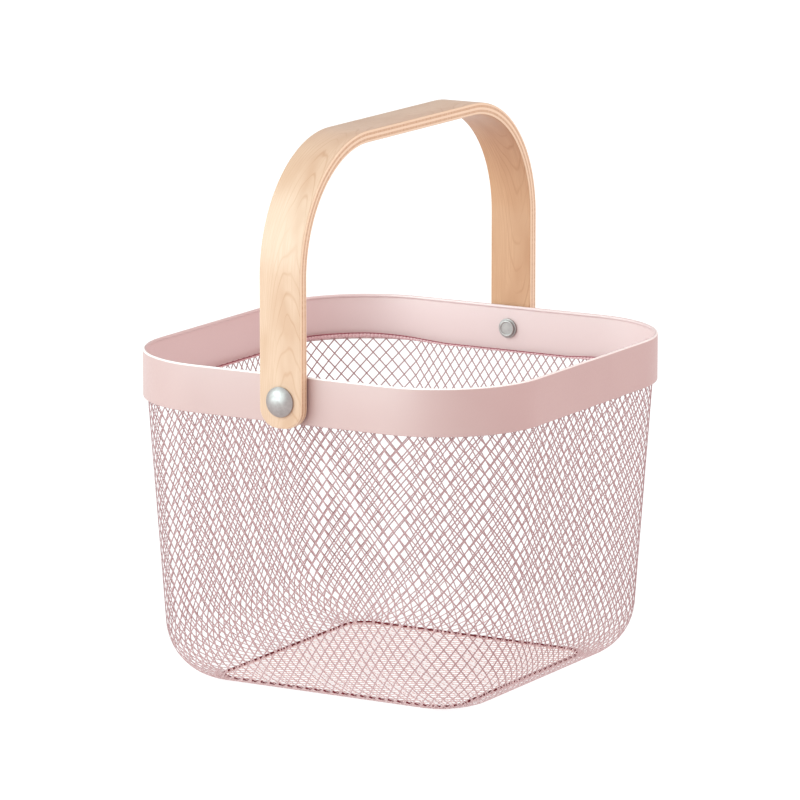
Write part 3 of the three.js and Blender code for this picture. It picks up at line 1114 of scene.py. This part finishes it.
@dataclass
class Net:
    """What both nets have: strands in two directions, with a flat section that stands a little askew."""

    form: BasketForm
    width: float
    thickness: float
    tilt: float

    def inputs(self, board: GeometryBoard) -> dict[str, Socket]:
        """Adds the named inputs of the strands' section.

        Args:
            board: The tree.

        Returns:
            The inputs' sockets, by short names.
        """
        return {
            "width": board.input("Strand width", InputKind.SIZE, self.width),
            "thickness": board.input("Strand thickness", InputKind.SIZE, self.thickness),
            "tilt": board.input("Strand tilt", InputKind.SIZE, self.tilt),
        }

    def askew(
        self, board: GeometryBoard, curves: Socket, facing: Feed, sizes: dict[str, Socket], way: Way
    ) -> Socket:
        """Turns curves so that a section on them stands a little askew.

        Args:
            board: The tree.
            curves: The curves.
            facing: The direction that the net faces there.
            sizes: The tree's named inputs.
            way: The direction of the strands, which also gives the side to which they tilt.

        Returns:
            The turned curves.
        """
        feeds = {"Curve": curves, "Normal": facing}
        upright = board.out("GeometryNodeSetCurveNormal", feeds, mode="FREE")
        tilt = board.times(sizes["tilt"], float(way.value))
        return board.out("GeometryNodeSetCurveTilt", {"Curve": upright, "Tilt": tilt})

    def flat_strands(self, board: GeometryBoard, curves: Socket, sizes: dict[str, Socket]) -> Socket:
        """Sweeps the flat section along curves, with its thickness along their normal."""
        feeds = {"Width": sizes["thickness"], "Height": sizes["width"]}
        return board.swept(curves, board.out("GeometryNodeCurvePrimitiveQuadrilateral", feeds))


@dataclass
class WallNet(Net):
    """The drawn steel mesh of the four walls: strands in two directions, welded where they cross.

    Each straight and each corner keeps its columns of cells at every height. Where the net's ends
    are joined, the family that rises to the right has fewer strands.
    """

    width: float = 0.75 * MM
    thickness: float = 0.22 * MM
    tilt: float = math.radians(4)
    side_columns: int = 21
    corner_columns: int = 12
    seam_loss: int = 1
    rows: int = 22
    knuckle: Triple = (0.475 * MM, 0.65 * MM, 0.16 * MM)
    knuckle_segments: int = 4
    knuckle_rings: int = 2
    bottom_start: float = 0.5 * MM
    top_drop: float = 3.0 * MM

    def on_wall(self, board: GeometryBoard, value: Socket) -> Socket:
        """Reads a vector of the guide at a point that lies in its flat map.

        Args:
            board: The tree.
            value: What is read, such as the guide's position.

        Returns:
            The vector on the wall.
        """
        flat = board.parted(board.here())
        feeds = {
            "Mesh": board.guide,
            "Value": value,
            "UV Map": board.attribute("wall", "FLOAT_VECTOR"),
            "Sample UV": board.joined(board.math("FRACT", flat[0]), flat[1]),
        }
        return board.out("GeometryNodeSampleUVSurface", feeds, data_type="FLOAT_VECTOR")

    def strands(self, board: GeometryBoard, sizes: dict[str, Socket], way: Way) -> Socket:
        """Lays one family of strands on the wall.

        Args:
            board: The tree.
            sizes: Its named inputs.
            way: The direction in which the strands rise.

        Returns:
            The swept strands.
        """
        columns, rows = sizes[way.name], sizes["rows"]
        lean = board.times(board.over(rows, columns), float(way.value))
        line = board.out("GeometryNodeCurvePrimitiveLine", {"End": board.joined(lean, 1.0)})
        knots = board.plus(board.times(rows, 2.0), 1.0)
        fine = board.out("GeometryNodeResampleCurve", {"Curve": line, "Count": knots})
        pitch = board.joined(board.over(1.0, columns))
        feet = board.out("GeometryNodeMeshLine", {"Count": columns, "Offset": pitch})
        flat = board.realized(board.copies(feet, fine))
        askew = self.askew(board, flat, self.on_wall(board, board.facing()), sizes, way)
        laid = board.moved(askew, self.on_wall(board, board.here()))
        return self.flat_strands(board, laid, sizes)

    def knuckles(self, board: GeometryBoard, sizes: dict[str, Socket]) -> Socket:
        """Sets a small flattened knuckle where strands cross.

        Args:
            board: The tree.
            sizes: Its named inputs.

        Returns:
            The knuckles as instances.
        """
        levels = board.times(sizes["rows"], 2.0)
        right_pitch, left_pitch = (board.over(1.0, sizes[way.name]) for way in Way)
        count = board.times(sizes[Way.RISING_RIGHT.name], levels)
        index = board.out("GeometryNodeInputIndex")
        strand = board.math("FLOOR", board.over(index, levels))
        level = board.plus(board.math("MODULO", index, levels), 1.0)
        right_foot = board.times(strand, right_pitch)
        left_foot = board.times(board.plus(strand, level), left_pitch)
        closing = board.times(board.plus(right_pitch, left_pitch), sizes["rows"])
        rise = board.over(board.minus(left_foot, right_foot), closing)
        lean = board.times(board.times(sizes["rows"], right_pitch), rise)
        crossing = board.joined(board.plus(right_foot, lean), rise)
        points = board.moved(board.out("GeometryNodePoints", {"Count": count}), crossing)
        facing = self.on_wall(board, board.facing())
        turn = board.turn(facing, board.vector("CROSS_PRODUCT", UP, facing))
        knuckle = board.egg(self.knuckle_segments, self.knuckle_rings, sizes["knuckle"])
        copies = board.copies(points, knuckle, Rotation=turn)
        return board.moved(copies, self.on_wall(board, board.here()))

    def build(self, finish: bpy.types.Material) -> None:
        """Builds and dresses the wall's mesh.

        Args:
            finish: Its material.
        """
        board = GeometryBoard("wall strands")
        quarter = self.side_columns + self.corner_columns
        right, left = Way
        sizes = self.inputs(board) | {
            right.name: board.input("Strands to the right", InputKind.COUNT, 4 * quarter - self.seam_loss),
            left.name: board.input("Strands to the left", InputKind.COUNT, 4 * quarter),
            "rows": board.input("Rows", InputKind.COUNT, self.rows),
            "knuckle": board.input("Knuckle half sizes", InputKind.SIZES, self.knuckle),
        }
        shapes = [self.strands(board, sizes, way) for way in Way]
        board.close([*shapes, self.knuckles(board, sizes)], finish, smooth=False)
        stop = self.form.length - self.top_drop
        guide = self.form.guide(self.bottom_start, stop, self.corner_columns / quarter)
        dressed("wall_strands", board.run(guide), finish, Body.BASKET, Slot.MESH_COAT, "wall_mesh")


@dataclass
class FloorNet(Net):
    """The flat mesh of the bottom, which ends at the base wire."""

    width: float = 0.5 * MM
    thickness: float = 0.24 * MM
    tilt: float = math.radians(12)
    cell_width: float = 5.85 * MM
    cell_height: float = 8.5 * MM
    reach: float = 0.3
    corner_steps: int = 12
    side_steps: int = 4

    def skirt(self) -> bpy.types.Mesh:
        """An upright strip along the middle of the base wire, which strands are measured against.

        Returns:
            The strip.
        """
        flat = self.form.floor.loop(self.corner_steps, self.side_steps)
        levels = [with_column(flat, z) for z in (0.0, 2 * self.form.base)]
        return Shell(np.concatenate(levels), quads(2, len(flat))).mesh("floor guide")

    def strands(self, board: GeometryBoard, sizes: dict[str, Socket], way: Way) -> Socket:
        """Lays one family of strands across the floor.

        Args:
            board: The tree.
            sizes: Its named inputs.
            way: The direction in which the strands run.

        Returns:
            The swept strands.
        """
        cell_width, to_each_side = sizes["cell_width"], sizes["to_each_side"]
        first = board.times(board.times(cell_width, to_each_side), -1.0)
        feeds = {
            "Count": board.plus(board.times(to_each_side, 2.0), 1.0),
            "Start Location": board.joined(first, 0.0, sizes["height"]),
            "Offset": board.joined(cell_width),
        }
        middles = board.out("GeometryNodeMeshLine", feeds)
        step = board.joined(board.times(cell_width, float(way.value)), sizes["cell_height"])
        forward = board.vector("NORMALIZE", step)
        hits = []
        for sign in (1.0, -1.0):
            ray = board.scaled(forward, sign)
            behind = board.scaled(ray, sizes["reach"])
            feeds = {
                "Target Geometry": board.guide,
                "Source Position": board.vector("SUBTRACT", board.here(), behind),
                "Ray Direction": ray,
                "Ray Length": board.times(sizes["reach"], 2.0),
            }
            hits.append(board.add("GeometryNodeRaycast", feeds))
        near, far = (hit.outputs["Hit Position"] for hit in hits)
        heading = board.parted(forward)
        angle = board.joined(z=board.math("ARCTAN2", heading[1], heading[0]))
        copies = board.copies(
            middles,
            board.out("GeometryNodeCurvePrimitiveLine", {"End": (1.0, 0.0, 0.0)}),
            Selection=hits[0].outputs["Is Hit"],
            Rotation=board.out("FunctionNodeEulerToRotation", {0: angle}),
            Scale=board.joined(board.length(board.vector("SUBTRACT", far, near)), 1.0, 1.0),
        )
        flat = board.realized(board.moved(copies, near))
        return self.flat_strands(board, self.askew(board, flat, UP, sizes, way), sizes)

    def build(self, finish: bpy.types.Material) -> None:
        """Builds and dresses the floor's mesh.

        Args:
            finish: Its material.
        """
        board = GeometryBoard("floor strands")
        to_each_side = math.ceil((self.form.floor.half_x + self.form.floor.half_y) / self.cell_width)
        sizes = self.inputs(board) | {
            "to_each_side": board.input("Strands to each side", InputKind.COUNT, to_each_side),
            "cell_width": board.input("Cell width", InputKind.SIZE, self.cell_width),
            "cell_height": board.input("Cell height", InputKind.SIZE, self.cell_height),
            "height": board.input("Height", InputKind.SIZE, self.form.base),
            "reach": board.input("Reach", InputKind.SIZE, self.reach),
        }
        board.close([self.strands(board, sizes, way) for way in Way], finish, smooth=False)
        dressed("floor_strands", board.run(self.skirt()), finish, Body.BASKET, Slot.MESH_COAT, "floor_mesh")


@dataclass
class RimBand:
    """The painted strip round the rim, with a small bead rolled into its top edge."""

    form: BasketForm
    lip: float = 2.0 * MM
    edge: float = 0.5 * MM
    bore: float = 6.6 * MM
    lip_steps: int = 22
    edge_steps: int = 5
    corner_steps: int = 40
    side_steps: int = 24
    crisp: float = 40

    def section(self) -> np.ndarray:
        """The strip's section: up the outside, round the bead and down the inside.

        Returns:
            Rows of inset and height.
        """
        form, roll = self.form, self.lip / 2
        bead = np.linspace(math.pi, -math.acos((form.gauge - roll) / roll), self.lip_steps)
        lip = np.column_stack([roll + roll * np.cos(bead), form.top - roll + roll * np.sin(bead)])
        ease = np.linspace(QUARTER_TURN, 0, self.edge_steps)
        insets, rises = self.edge * (1 - np.cos(ease)), self.edge * (1 - np.sin(ease))
        outer = np.column_stack([insets, form.foot + rises])
        inner = outer[::-1] * (-1, 1) + (form.gauge, 0)
        return np.concatenate([outer, lip, inner])

    def build(self, finish: bpy.types.Material, pivot: float) -> None:
        """Builds and dresses the strip, with a hole for each rivet.

        Args:
            finish: Its material.
            pivot: Height of the rivets' axis.
        """
        shell = self.form.rim.sweep(self.section(), self.corner_steps, self.side_steps)
        strip = bored(shell.mesh("rim_strip", self.crisp), self.bore / 2, pivot, self.crisp)
        inner = [float(face.normal.xy.dot(face.center.xy) < 0) for face in strip.polygons]
        strip.attributes.new("inner", "FLOAT", "FACE").data.foreach_set("value", inner)
        dressed("rim_strip", strip, finish, Body.BASKET, Slot.COAT, "rim_band")


@dataclass
class BoundWires:
    """The base wire with the strand ends bound round it, and the rolled hem behind the band."""

    form: BasketForm
    wraps: int = 102
    wrap_half_length: float = 1.0 * MM
    core_radius: float = 0.7 * MM
    core_height: float = 1.4 * MM
    foot_radius: float = 0.55 * MM
    foot_outset: float = 0.3 * MM
    beads: int = 392
    bead_overlap: float = 1.3
    hem_inset: float = 3.8 * MM
    hem_level: float = 0.3 * MM
    hem_rise: float = 2.3 * MM
    hem_half_depth: float = 0.8 * MM
    hem_half_height: float = 0.6 * MM
    hem_swelling: float = 1.2
    hem_core_radius: float = 0.35 * MM
    corner_gain: float = 1.6
    corner_start: float = 0.5
    wire_points: int = 12
    core_points: int = 8
    corner_steps: int = 16
    side_steps: int = 12
    path_steps: int = 960
    bead_segments: int = 8
    bead_rings: int = 6
    crisp: float = 60

    def path(self, outline: RoundedSquare, height: float, rise: float = 0.0) -> bpy.types.Mesh:
        """A closed line of edges round an outline, which pieces are set along.

        Args:
            outline: The outline.
            height: Its height along the sides.
            rise: How much higher it lies round the corners.

        Returns:
            The line, whose attribute "corner" goes from 0 along the sides to 1 round the corners.
        """
        steps = self.path_steps
        turns = np.arange(steps) / steps
        wave = np.sin(2 * FULL_TURN * turns) ** 2
        corner = np.clip(self.corner_gain * wave - self.corner_start, 0, 1)
        points = np.column_stack([outline.at(turns), height + rise * corner])
        line = bpy.data.meshes.new("wire guide")
        line.from_pydata(points.tolist(), [(k, (k + 1) % steps) for k in range(steps)], [])
        values = corner.astype(np.float32)
        line.attributes.new("corner", "FLOAT", "POINT").data.foreach_set("value", values)
        return line

    def wire(
        self,
        name: str,
        radius: float,
        outset: float,
        height: float,
        finish: bpy.types.Material,
        *nodes: str,
    ) -> None:
        """Builds and dresses a plain round wire along the floor's outline.

        Args:
            name: The piece's name.
            radius: The wire's radius.
            outset: How far its middle lies outside the outline.
            height: Height of its middle.
            finish: Its material.
            nodes: The CAD nodes that it stands for.
        """
        angle = -QUARTER_TURN - round_angles(self.wire_points)
        section = np.column_stack([radius * np.cos(angle) - outset, height + radius * np.sin(angle)])
        shell = self.form.floor.sweep(section, self.corner_steps, self.side_steps)
        dressed(name, shell.mesh(name, self.crisp), finish, Body.BASKET, Slot.MESH_COAT, *nodes)

    def beaded(
        self,
        name: str,
        count: int,
        halves: Triple,
        guide: bpy.types.Mesh,
        finish: bpy.types.Material,
        swelling: float = 0.0,
    ) -> None:
        """Builds and dresses a row of beads, with their Z along a guide and their X upright.

        Args:
            name: The piece's name.
            count: How many beads there are.
            halves: A bead's half sizes: its height, its depth and its length.
            guide: The line that they follow.
            finish: Their material.
            swelling: How much taller they are round the corners, as a share of their height.
        """
        board = GeometryBoard(name.replace("_", " "))
        number = board.input("Beads", InputKind.COUNT, count)
        sizes = board.input("Bead half sizes", InputKind.SIZES, halves)
        swell = board.input("Swelling round the corners", InputKind.SIZE, swelling)
        feeds = {"Curve": board.guide_curve(), "Count": number}
        points = board.add("GeometryNodeCurveToPoints", feeds).outputs
        taller = board.plus(board.times(board.attribute("corner", "FLOAT"), swell), 1.0)
        copies = board.copies(
            points[0],
            board.egg(self.bead_segments, self.bead_rings, sizes),
            Rotation=board.turn(points["Tangent"], UP),
            Scale=board.joined(taller, 1.0, 1.0),
        )
        board.close([copies], finish, smooth=True)
        dressed(name, board.run(guide), finish, Body.BASKET, Slot.MESH_COAT)

    def build_base(self, core: bpy.types.Material, finish: bpy.types.Material) -> None:
        """Builds and dresses the base wire and the strand ends that are bound round it.

        Args:
            core: The wire's material, a dark painted shade between the wraps.
            finish: The material of the strand ends.
        """
        floor, radius = self.form.floor, self.form.base
        # The wire's dark coat is painted shade; the pale wraps and foot show against it.
        self.wire("base_wire", self.core_radius, 0.0, self.core_height, core, "base_ring")
        self.wire("base_foot", self.foot_radius, self.foot_outset, self.foot_radius, finish)
        halves = (radius, radius, self.wrap_half_length)
        self.beaded("base_wraps", self.wraps, halves, self.path(floor, radius), finish)

    def build_hem(self, core: bpy.types.Material, finish: bpy.types.Material) -> None:
        """Builds and dresses the hem: the folded mesh edge as a row of soft beads, under a core that stands
        for the hem wire and is painted dark as the shadow line against the band.

        Args:
            core: The core's material, a painted shadow line.
            finish: The beads' material.
        """
        height, half_height = self.form.foot + self.hem_level, self.hem_half_height
        outline = self.form.rim.inset(self.hem_inset)
        pitch = 4 * outline.quarter / self.beads
        halves = (half_height, self.hem_half_depth, pitch / 2 * self.bead_overlap)
        line = self.path(outline, height, self.hem_rise)
        self.beaded("hem_beads", self.beads, halves, line, finish, self.hem_swelling)

        # The core peeks above the beads; its dark coat is a painted shadow line along the band.
        board = GeometryBoard("hem core")
        radius = board.input("Radius", InputKind.SIZE, self.hem_core_radius)
        feeds = {"Resolution": self.core_points, "Radius": radius}
        section = board.out("GeometryNodeCurvePrimitiveCircle", feeds)
        board.close([board.swept(board.guide_curve(), section)], core, smooth=True)
        rise = self.hem_rise + half_height * self.hem_swelling
        line = self.path(outline, height + half_height, rise)
        dressed("hem_core", board.run(line), core, Body.BASKET, Slot.MESH_COAT, "hem_wire")


@dataclass
class StrapHandle:
    """The strap of laminated birch, bent into a U, with eased edges and rounded lower corners."""

    pivot: float
    bend: float = 74 * MM
    end_corner: float = 11 * MM
    thickness: float = 6.8 * MM
    ease: float = 0.9 * MM
    bore: float = 6.16 * MM
    step: float = 2.4 * MM
    corner_steps: int = 14
    ease_steps: int = 6
    crisp: float = 50
    half_width: float = field(init=False)
    bend_height: float = field(init=False)
    middle_bend: float = field(init=False)
    arc: float = field(init=False)
    half_bar: float = field(init=False)
    length: float = field(init=False)

    def __post_init__(self) -> None:
        """Takes the strap's reach from the frame."""
        low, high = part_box("handle")
        self.half_width = high.y
        self.bend_height = high.z - self.bend
        self.middle_bend = self.bend - self.thickness / 2
        self.arc = self.middle_bend * QUARTER_TURN
        self.half_bar = high.x - self.bend
        self.length = 2 * (self.bend_height - low.z + self.arc + self.half_bar)

    def bent(self, along: float, out: float) -> tuple[float, float]:
        """Where a point of the flat strap lies once the strap is bent.

        Args:
            along: Distance along the strap's middle from the end of the left leg.
            out: Distance from its middle towards the outer face.

        Returns:
            X and Z.
        """
        past = abs(along - self.length / 2)
        side = 1 if along > self.length / 2 else -1
        radius = self.middle_bend + out
        if past <= self.half_bar:
            return side * past, self.bend_height + radius
        angle = min((past - self.half_bar) / self.arc, 1) * QUARTER_TURN
        drop = max(past - self.half_bar - self.arc, 0)
        x, z = self.half_bar + radius * math.sin(angle), self.bend_height + radius * math.cos(angle)
        return side * x, z - drop

    def chain(self, inset: float) -> np.ndarray:
        """Half of the flat strap's outline, from the left end to the right one, moved inwards.

        Args:
            inset: How far inwards.

        Returns:
            Rows of distance along the strap and half-width.
        """
        corner = self.end_corner
        turn = np.linspace(0, QUARTER_TURN, self.corner_steps)
        left = np.column_stack([
            corner - (corner - inset) * np.cos(turn),
            self.half_width - corner + (corner - inset) * np.sin(turn),
        ])
        count = round((self.length - 2 * corner) / self.step)
        along = np.linspace(corner, self.length - corner, count + 1)[1:-1]
        right = left[::-1] * (-1, 1) + (self.length, 0)
        return np.concatenate([left, with_column(along, self.half_width - inset), right])

    def shell(self) -> Shell:
        """The whole strap: rings from the inner face to the outer one, and both faces.

        Returns:
            The closed shell, with the strap's two UV maps.
        """
        ease = np.linspace(0, QUARTER_TURN, self.ease_steps)
        insets = self.ease * (1 - np.sin(ease))
        depths = self.ease * (1 - np.cos(ease))
        levels = [*zip(insets, depths), *zip(insets[::-1], self.thickness - depths[::-1])]
        points, strap, ply = [], [], []
        for inset, depth in levels:
            half = self.chain(inset)
            ring = np.concatenate([half * (1, -1), half[::-1]])
            for along, across in ring:
                x, z = self.bent(along, depth - self.thickness / 2)
                points.append((x, across, z))
                strap.append((along, across))
                ply.append((depth / self.thickness, 0.0))
        around = len(ring)
        faces = quads(len(levels), around)
        last = (len(levels) - 1) * around
        for k in range(len(half) - 1):
            low, low_next, high_next, high = k, k + 1, around - 2 - k, around - 1 - k
            faces.append((high, high_next, low_next, low))
            faces.append((last + low, last + low_next, last + high_next, last + high))
        return Shell(np.array(points), faces, {"strap": np.array(strap), "ply": np.array(ply)})

    def build(self, finish: bpy.types.Material) -> None:
        """Builds and dresses the strap, with a hole for each rivet."""
        strap = bored(self.shell().mesh("strap", self.crisp), self.bore / 2, self.pivot, self.crisp)
        dressed("strap", strap, finish, Body.HANDLE, Slot.BIRCH, "handle")


@dataclass
class Pivots:
    """The two domed rivets, with the spacer and the tail washer of each."""

    height: float
    segments: int = 72
    shank: float = 6 * MM
    crown: float = 3.6 * MM
    head_edge: float = 0.7 * MM
    tail: float = 9.6 * MM
    tail_height: float = 1.0 * MM
    dish: float = 7 * MM
    dish_depth: float = 0.4 * MM
    ease: float = 0.25 * MM
    washer_play: float = 0.3 * MM
    roll_steps: int = 13
    ease_steps: int = 5
    crown_steps: int = 25
    crisp: float = 40

    def eased(self, radius: float, place: float) -> Profile:
        """A quarter round at the inner end of a rim, from the end's face to the rim.

        Args:
            radius: The rim's radius.
            place: Where the end's face lies along the axis.

        Returns:
            Rows of radius and place along the axis.
        """
        rim = []
        for angle in np.linspace(0, QUARTER_TURN, self.ease_steps):
            back, along = self.ease * (1 - math.sin(angle)), self.ease * (1 - math.cos(angle))
            rim.append((radius - back, place + along))
        return rim

    def rivet_profile(self, node: str) -> Profile:
        """A rivet's profile, from the dished face of its tail to its crown.

        Args:
            node: The CAD node of the right-hand rivet, which gives its length.

        Returns:
            Rows of radius and place along the axis.
        """
        low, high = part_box(node)
        seat = high.x - self.crown - self.head_edge
        head, tail, dish, shank = high.y, self.tail / 2, self.dish / 2, self.shank / 2
        profile = [(0.0, low.x + self.dish_depth)]
        roll = (tail - dish) / 2
        for angle in np.linspace(math.pi, 0, self.roll_steps):
            rise = self.dish_depth * (1 - math.sin(angle))
            profile.append((dish + roll + roll * math.cos(angle), low.x + rise))
        back = low.x + self.tail_height
        profile += [(tail, back), (shank, back), (shank, seat), *self.eased(head, seat)]
        sphere = (head**2 + self.crown**2) / (2 * self.crown)
        for angle in np.linspace(math.asin(head / sphere), 0, self.crown_steps)[:-1]:
            profile.append((sphere * math.sin(angle), high.x - sphere * (1 - math.cos(angle))))
        return [*profile, (0.0, high.x)]

    def washer_profile(self, node: str) -> Profile:
        """A washer's profile with eased rims, whose last row joins the first.

        Args:
            node: The CAD node of the right-hand washer, which gives its size.

        Returns:
            Rows of radius and place along the axis.
        """
        low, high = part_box(node)
        inner = self.shank / 2 + self.washer_play
        rim = self.eased(high.y, low.x)
        back = [(radius, low.x + high.x - place) for radius, place in reversed(rim)]
        return [(inner, low.x), *rim, *back, (inner, high.x)]

    def build(self, steel: bpy.types.Material, nylon: bpy.types.Material) -> None:
        """Builds and dresses both sides.

        Args:
            steel: The material of the rivets and tail washers.
            nylon: The material of the spacers.
        """
        plan = [
            ("rivet", self.rivet_profile("rivet_right"), False, steel, Slot.STEEL),
            ("tail_washer", self.washer_profile("tail_washer_right"), True, steel, Slot.STEEL),
            ("spacer", self.washer_profile("spacer_right"), True, nylon, Slot.NYLON),
        ]
        for side in Side:
            for name, profile, closed, finish, slot in plan:
                node = f"{name}_{side.word}"
                shell = turned(profile, self.height, side, self.segments, closed)
                dressed(f"turned_{node}", shell.mesh(node, self.crisp), finish, Body.BASKET, slot, node)


@dataclass(frozen=True)
class Lamp:
    """A distant lamp: its strength, colour, width in degrees and direction, as seen from the floor."""

    name: str
    energy: float
    colour: Triple
    width: float
    towards: Triple

    def hang(self) -> None:
        """Adds the lamp to the scene."""
        light = bpy.data.lights.new(self.name, "SUN")
        light.energy, light.color, light.angle = self.energy, self.colour, math.radians(self.width)
        holder = placed(self.name, light)
        holder.rotation_euler = Vector(self.towards).to_track_quat("Z", "Y").to_euler()


@dataclass
class Studio:
    """A plain pale floor, soft white light and the camera at the photograph's angle."""

    azimuth: float = math.radians(-59.94)
    elevation: float = math.radians(11.95)
    distance: float = 3.3
    target: Triple = (0.0, 0.0, 0.110)
    focal_pixels: float = 5802.72
    centre_pixel: tuple[float, float] = (402.15, 477.29)
    picture: float = 800
    sensor: float = 36.0
    farthest: float = 100.0
    floor_half: float = 20.0
    sky: float = 0.6
    key: Lamp = Lamp("key", 5.2, (0.72, 1.0, 1.0), 75, (-0.8, 0.5, 0.33))
    fill: Lamp = Lamp("fill", 1.75, (0.98, 0.90, 0.89), 80, (0.3, -0.8, 0.4))

    def floor(self) -> None:
        """Lays the floor."""
        half = self.floor_half
        points = np.array([(-half, -half, 0), (half, -half, 0), (half, half, 0), (-half, half, 0)])
        plane = placed("studio_floor", Shell(points, [(0, 1, 2, 3)]).mesh("studio_floor"))
        plane.data.materials.append(PaleFloor("studio floor").material())

    def lights(self) -> None:
        """Sets an even sky, a broad key from the camera's left and a weaker fill from its right."""
        world = bpy.data.worlds.new("studio")
        world.use_nodes = True
        sky = world.node_tree.nodes["Background"]
        sky.inputs["Color"].default_value = WHITE
        sky.inputs["Strength"].default_value = self.sky
        bpy.context.scene.world = world
        for lamp in (self.key, self.fill):
            lamp.hang()
        bpy.context.scene.view_settings.view_transform = "Standard"

    def camera(self) -> None:
        """Sets the camera, aimed so that the target falls on its pixel of the photograph."""
        around, up = self.azimuth, self.elevation
        back = Vector((math.sin(around) * math.cos(up), -math.cos(around) * math.cos(up), math.sin(up)))
        right = Vector((math.cos(around), math.sin(around), 0))
        above = back.cross(right)
        aim_x = (self.picture / 2 - self.centre_pixel[0]) / self.focal_pixels
        aim_y = (self.centre_pixel[1] - self.picture / 2) / self.focal_pixels
        towards = back - right * aim_x - above * aim_y
        lens = bpy.data.cameras.new("camera")
        lens.sensor_width = self.sensor
        lens.lens = self.sensor * self.focal_pixels / self.picture
        lens.clip_end = self.farthest
        eye = placed("camera", lens)
        eye.location = Vector(self.target) + back * self.distance
        eye.rotation_euler = towards.to_track_quat("Z", "Y").to_euler()
        bpy.context.scene.camera = eye

    def build(self) -> None:
        """Builds the floor, the lights and the camera."""
        self.floor()
        self.lights()
        self.camera()


def main() -> None:
    """Builds the sub-assemblies in order."""
    logging.basicConfig(level=logging.INFO, format="%(name)s: %(message)s")
    form = BasketForm.from_frame()
    pivot = frame["joints"][0]["pos_m"][2]

    band_coat = BandCoat(
        name="band coat",
        colour=screen_colour(185, 147, 143),
        shade=screen_colour(182, 143, 139),
        # inside is painted fill light on the inner faces, and edge is a painted highlight along the bead's
        # top.
        inside=screen_colour(208, 174, 172),
        edge=screen_colour(240, 222, 218),
        highlight_height=form.top,
        gloss=1.0,
    )
    # Both strand coats hold painted light: their darker tones are painted shade and their paler ones a
    # painted lit tone; the floor mesh is painted paler as if lit from above.
    mesh_coat = StrandCoat("mesh coat", screen_colour(165, 124, 125), screen_colour(200, 163, 163))
    floor_coat = StrandCoat("floor mesh coat", screen_colour(211, 167, 164), screen_colour(219, 177, 173))
    dull, satin = (0.65, 0.76), (0.45, 0.56)
    # Painted shade: the base wire is painted deep red-brown for the shadow in the groove between the wraps.
    base_shade_coat = PowderCoat(
        "deep coat", screen_colour(108, 28, 36), screen_colour(96, 22, 30), dull, gloss=0.1
    )
    # Painted shadow: the hem core stands for the hem wire and is painted dark red as the shadow line
    # between the hem and the band.
    hem_shadow_coat = PowderCoat(
        "core coat", screen_colour(150, 78, 86), screen_colour(138, 68, 76), dull, gloss=0.2
    )
    hem_coat = PowderCoat("hem coat", screen_colour(206, 160, 162), screen_colour(198, 150, 153), satin)
    wrap_coat = PowderCoat("wrap coat", screen_colour(222, 186, 184), screen_colour(216, 176, 175), satin)
    birch = Plywood(
        "birch plywood",
        plies=5,
        outer=screen_colour(203, 164, 141),
        inner=screen_colour(192, 142, 110),
        darkening=(0.76, 0.62, 0.5),
        pale_edge=screen_colour(226, 192, 163),
        tan_edge=screen_colour(190, 143, 109),
    )
    steel = SpunSteel("spun steel", screen_colour(176, 164, 162), screen_colour(168, 156, 154), pivot)
    nylon = Nylon("natural nylon", screen_colour(230, 227, 220), screen_colour(219, 215, 207))

    RimBand(form).build(band_coat.material(), pivot)
    WallNet(form).build(mesh_coat.material())
    FloorNet(form).build(floor_coat.material())
    wires = BoundWires(form)
    wires.build_base(base_shade_coat.material(), wrap_coat.material())
    wires.build_hem(hem_shadow_coat.material(), hem_coat.material())
    StrapHandle(pivot).build(birch.material())
    Pivots(pivot).build(steel.material(), nylon.material())
    Studio().build()


if __name__ == "__main__":
    main()
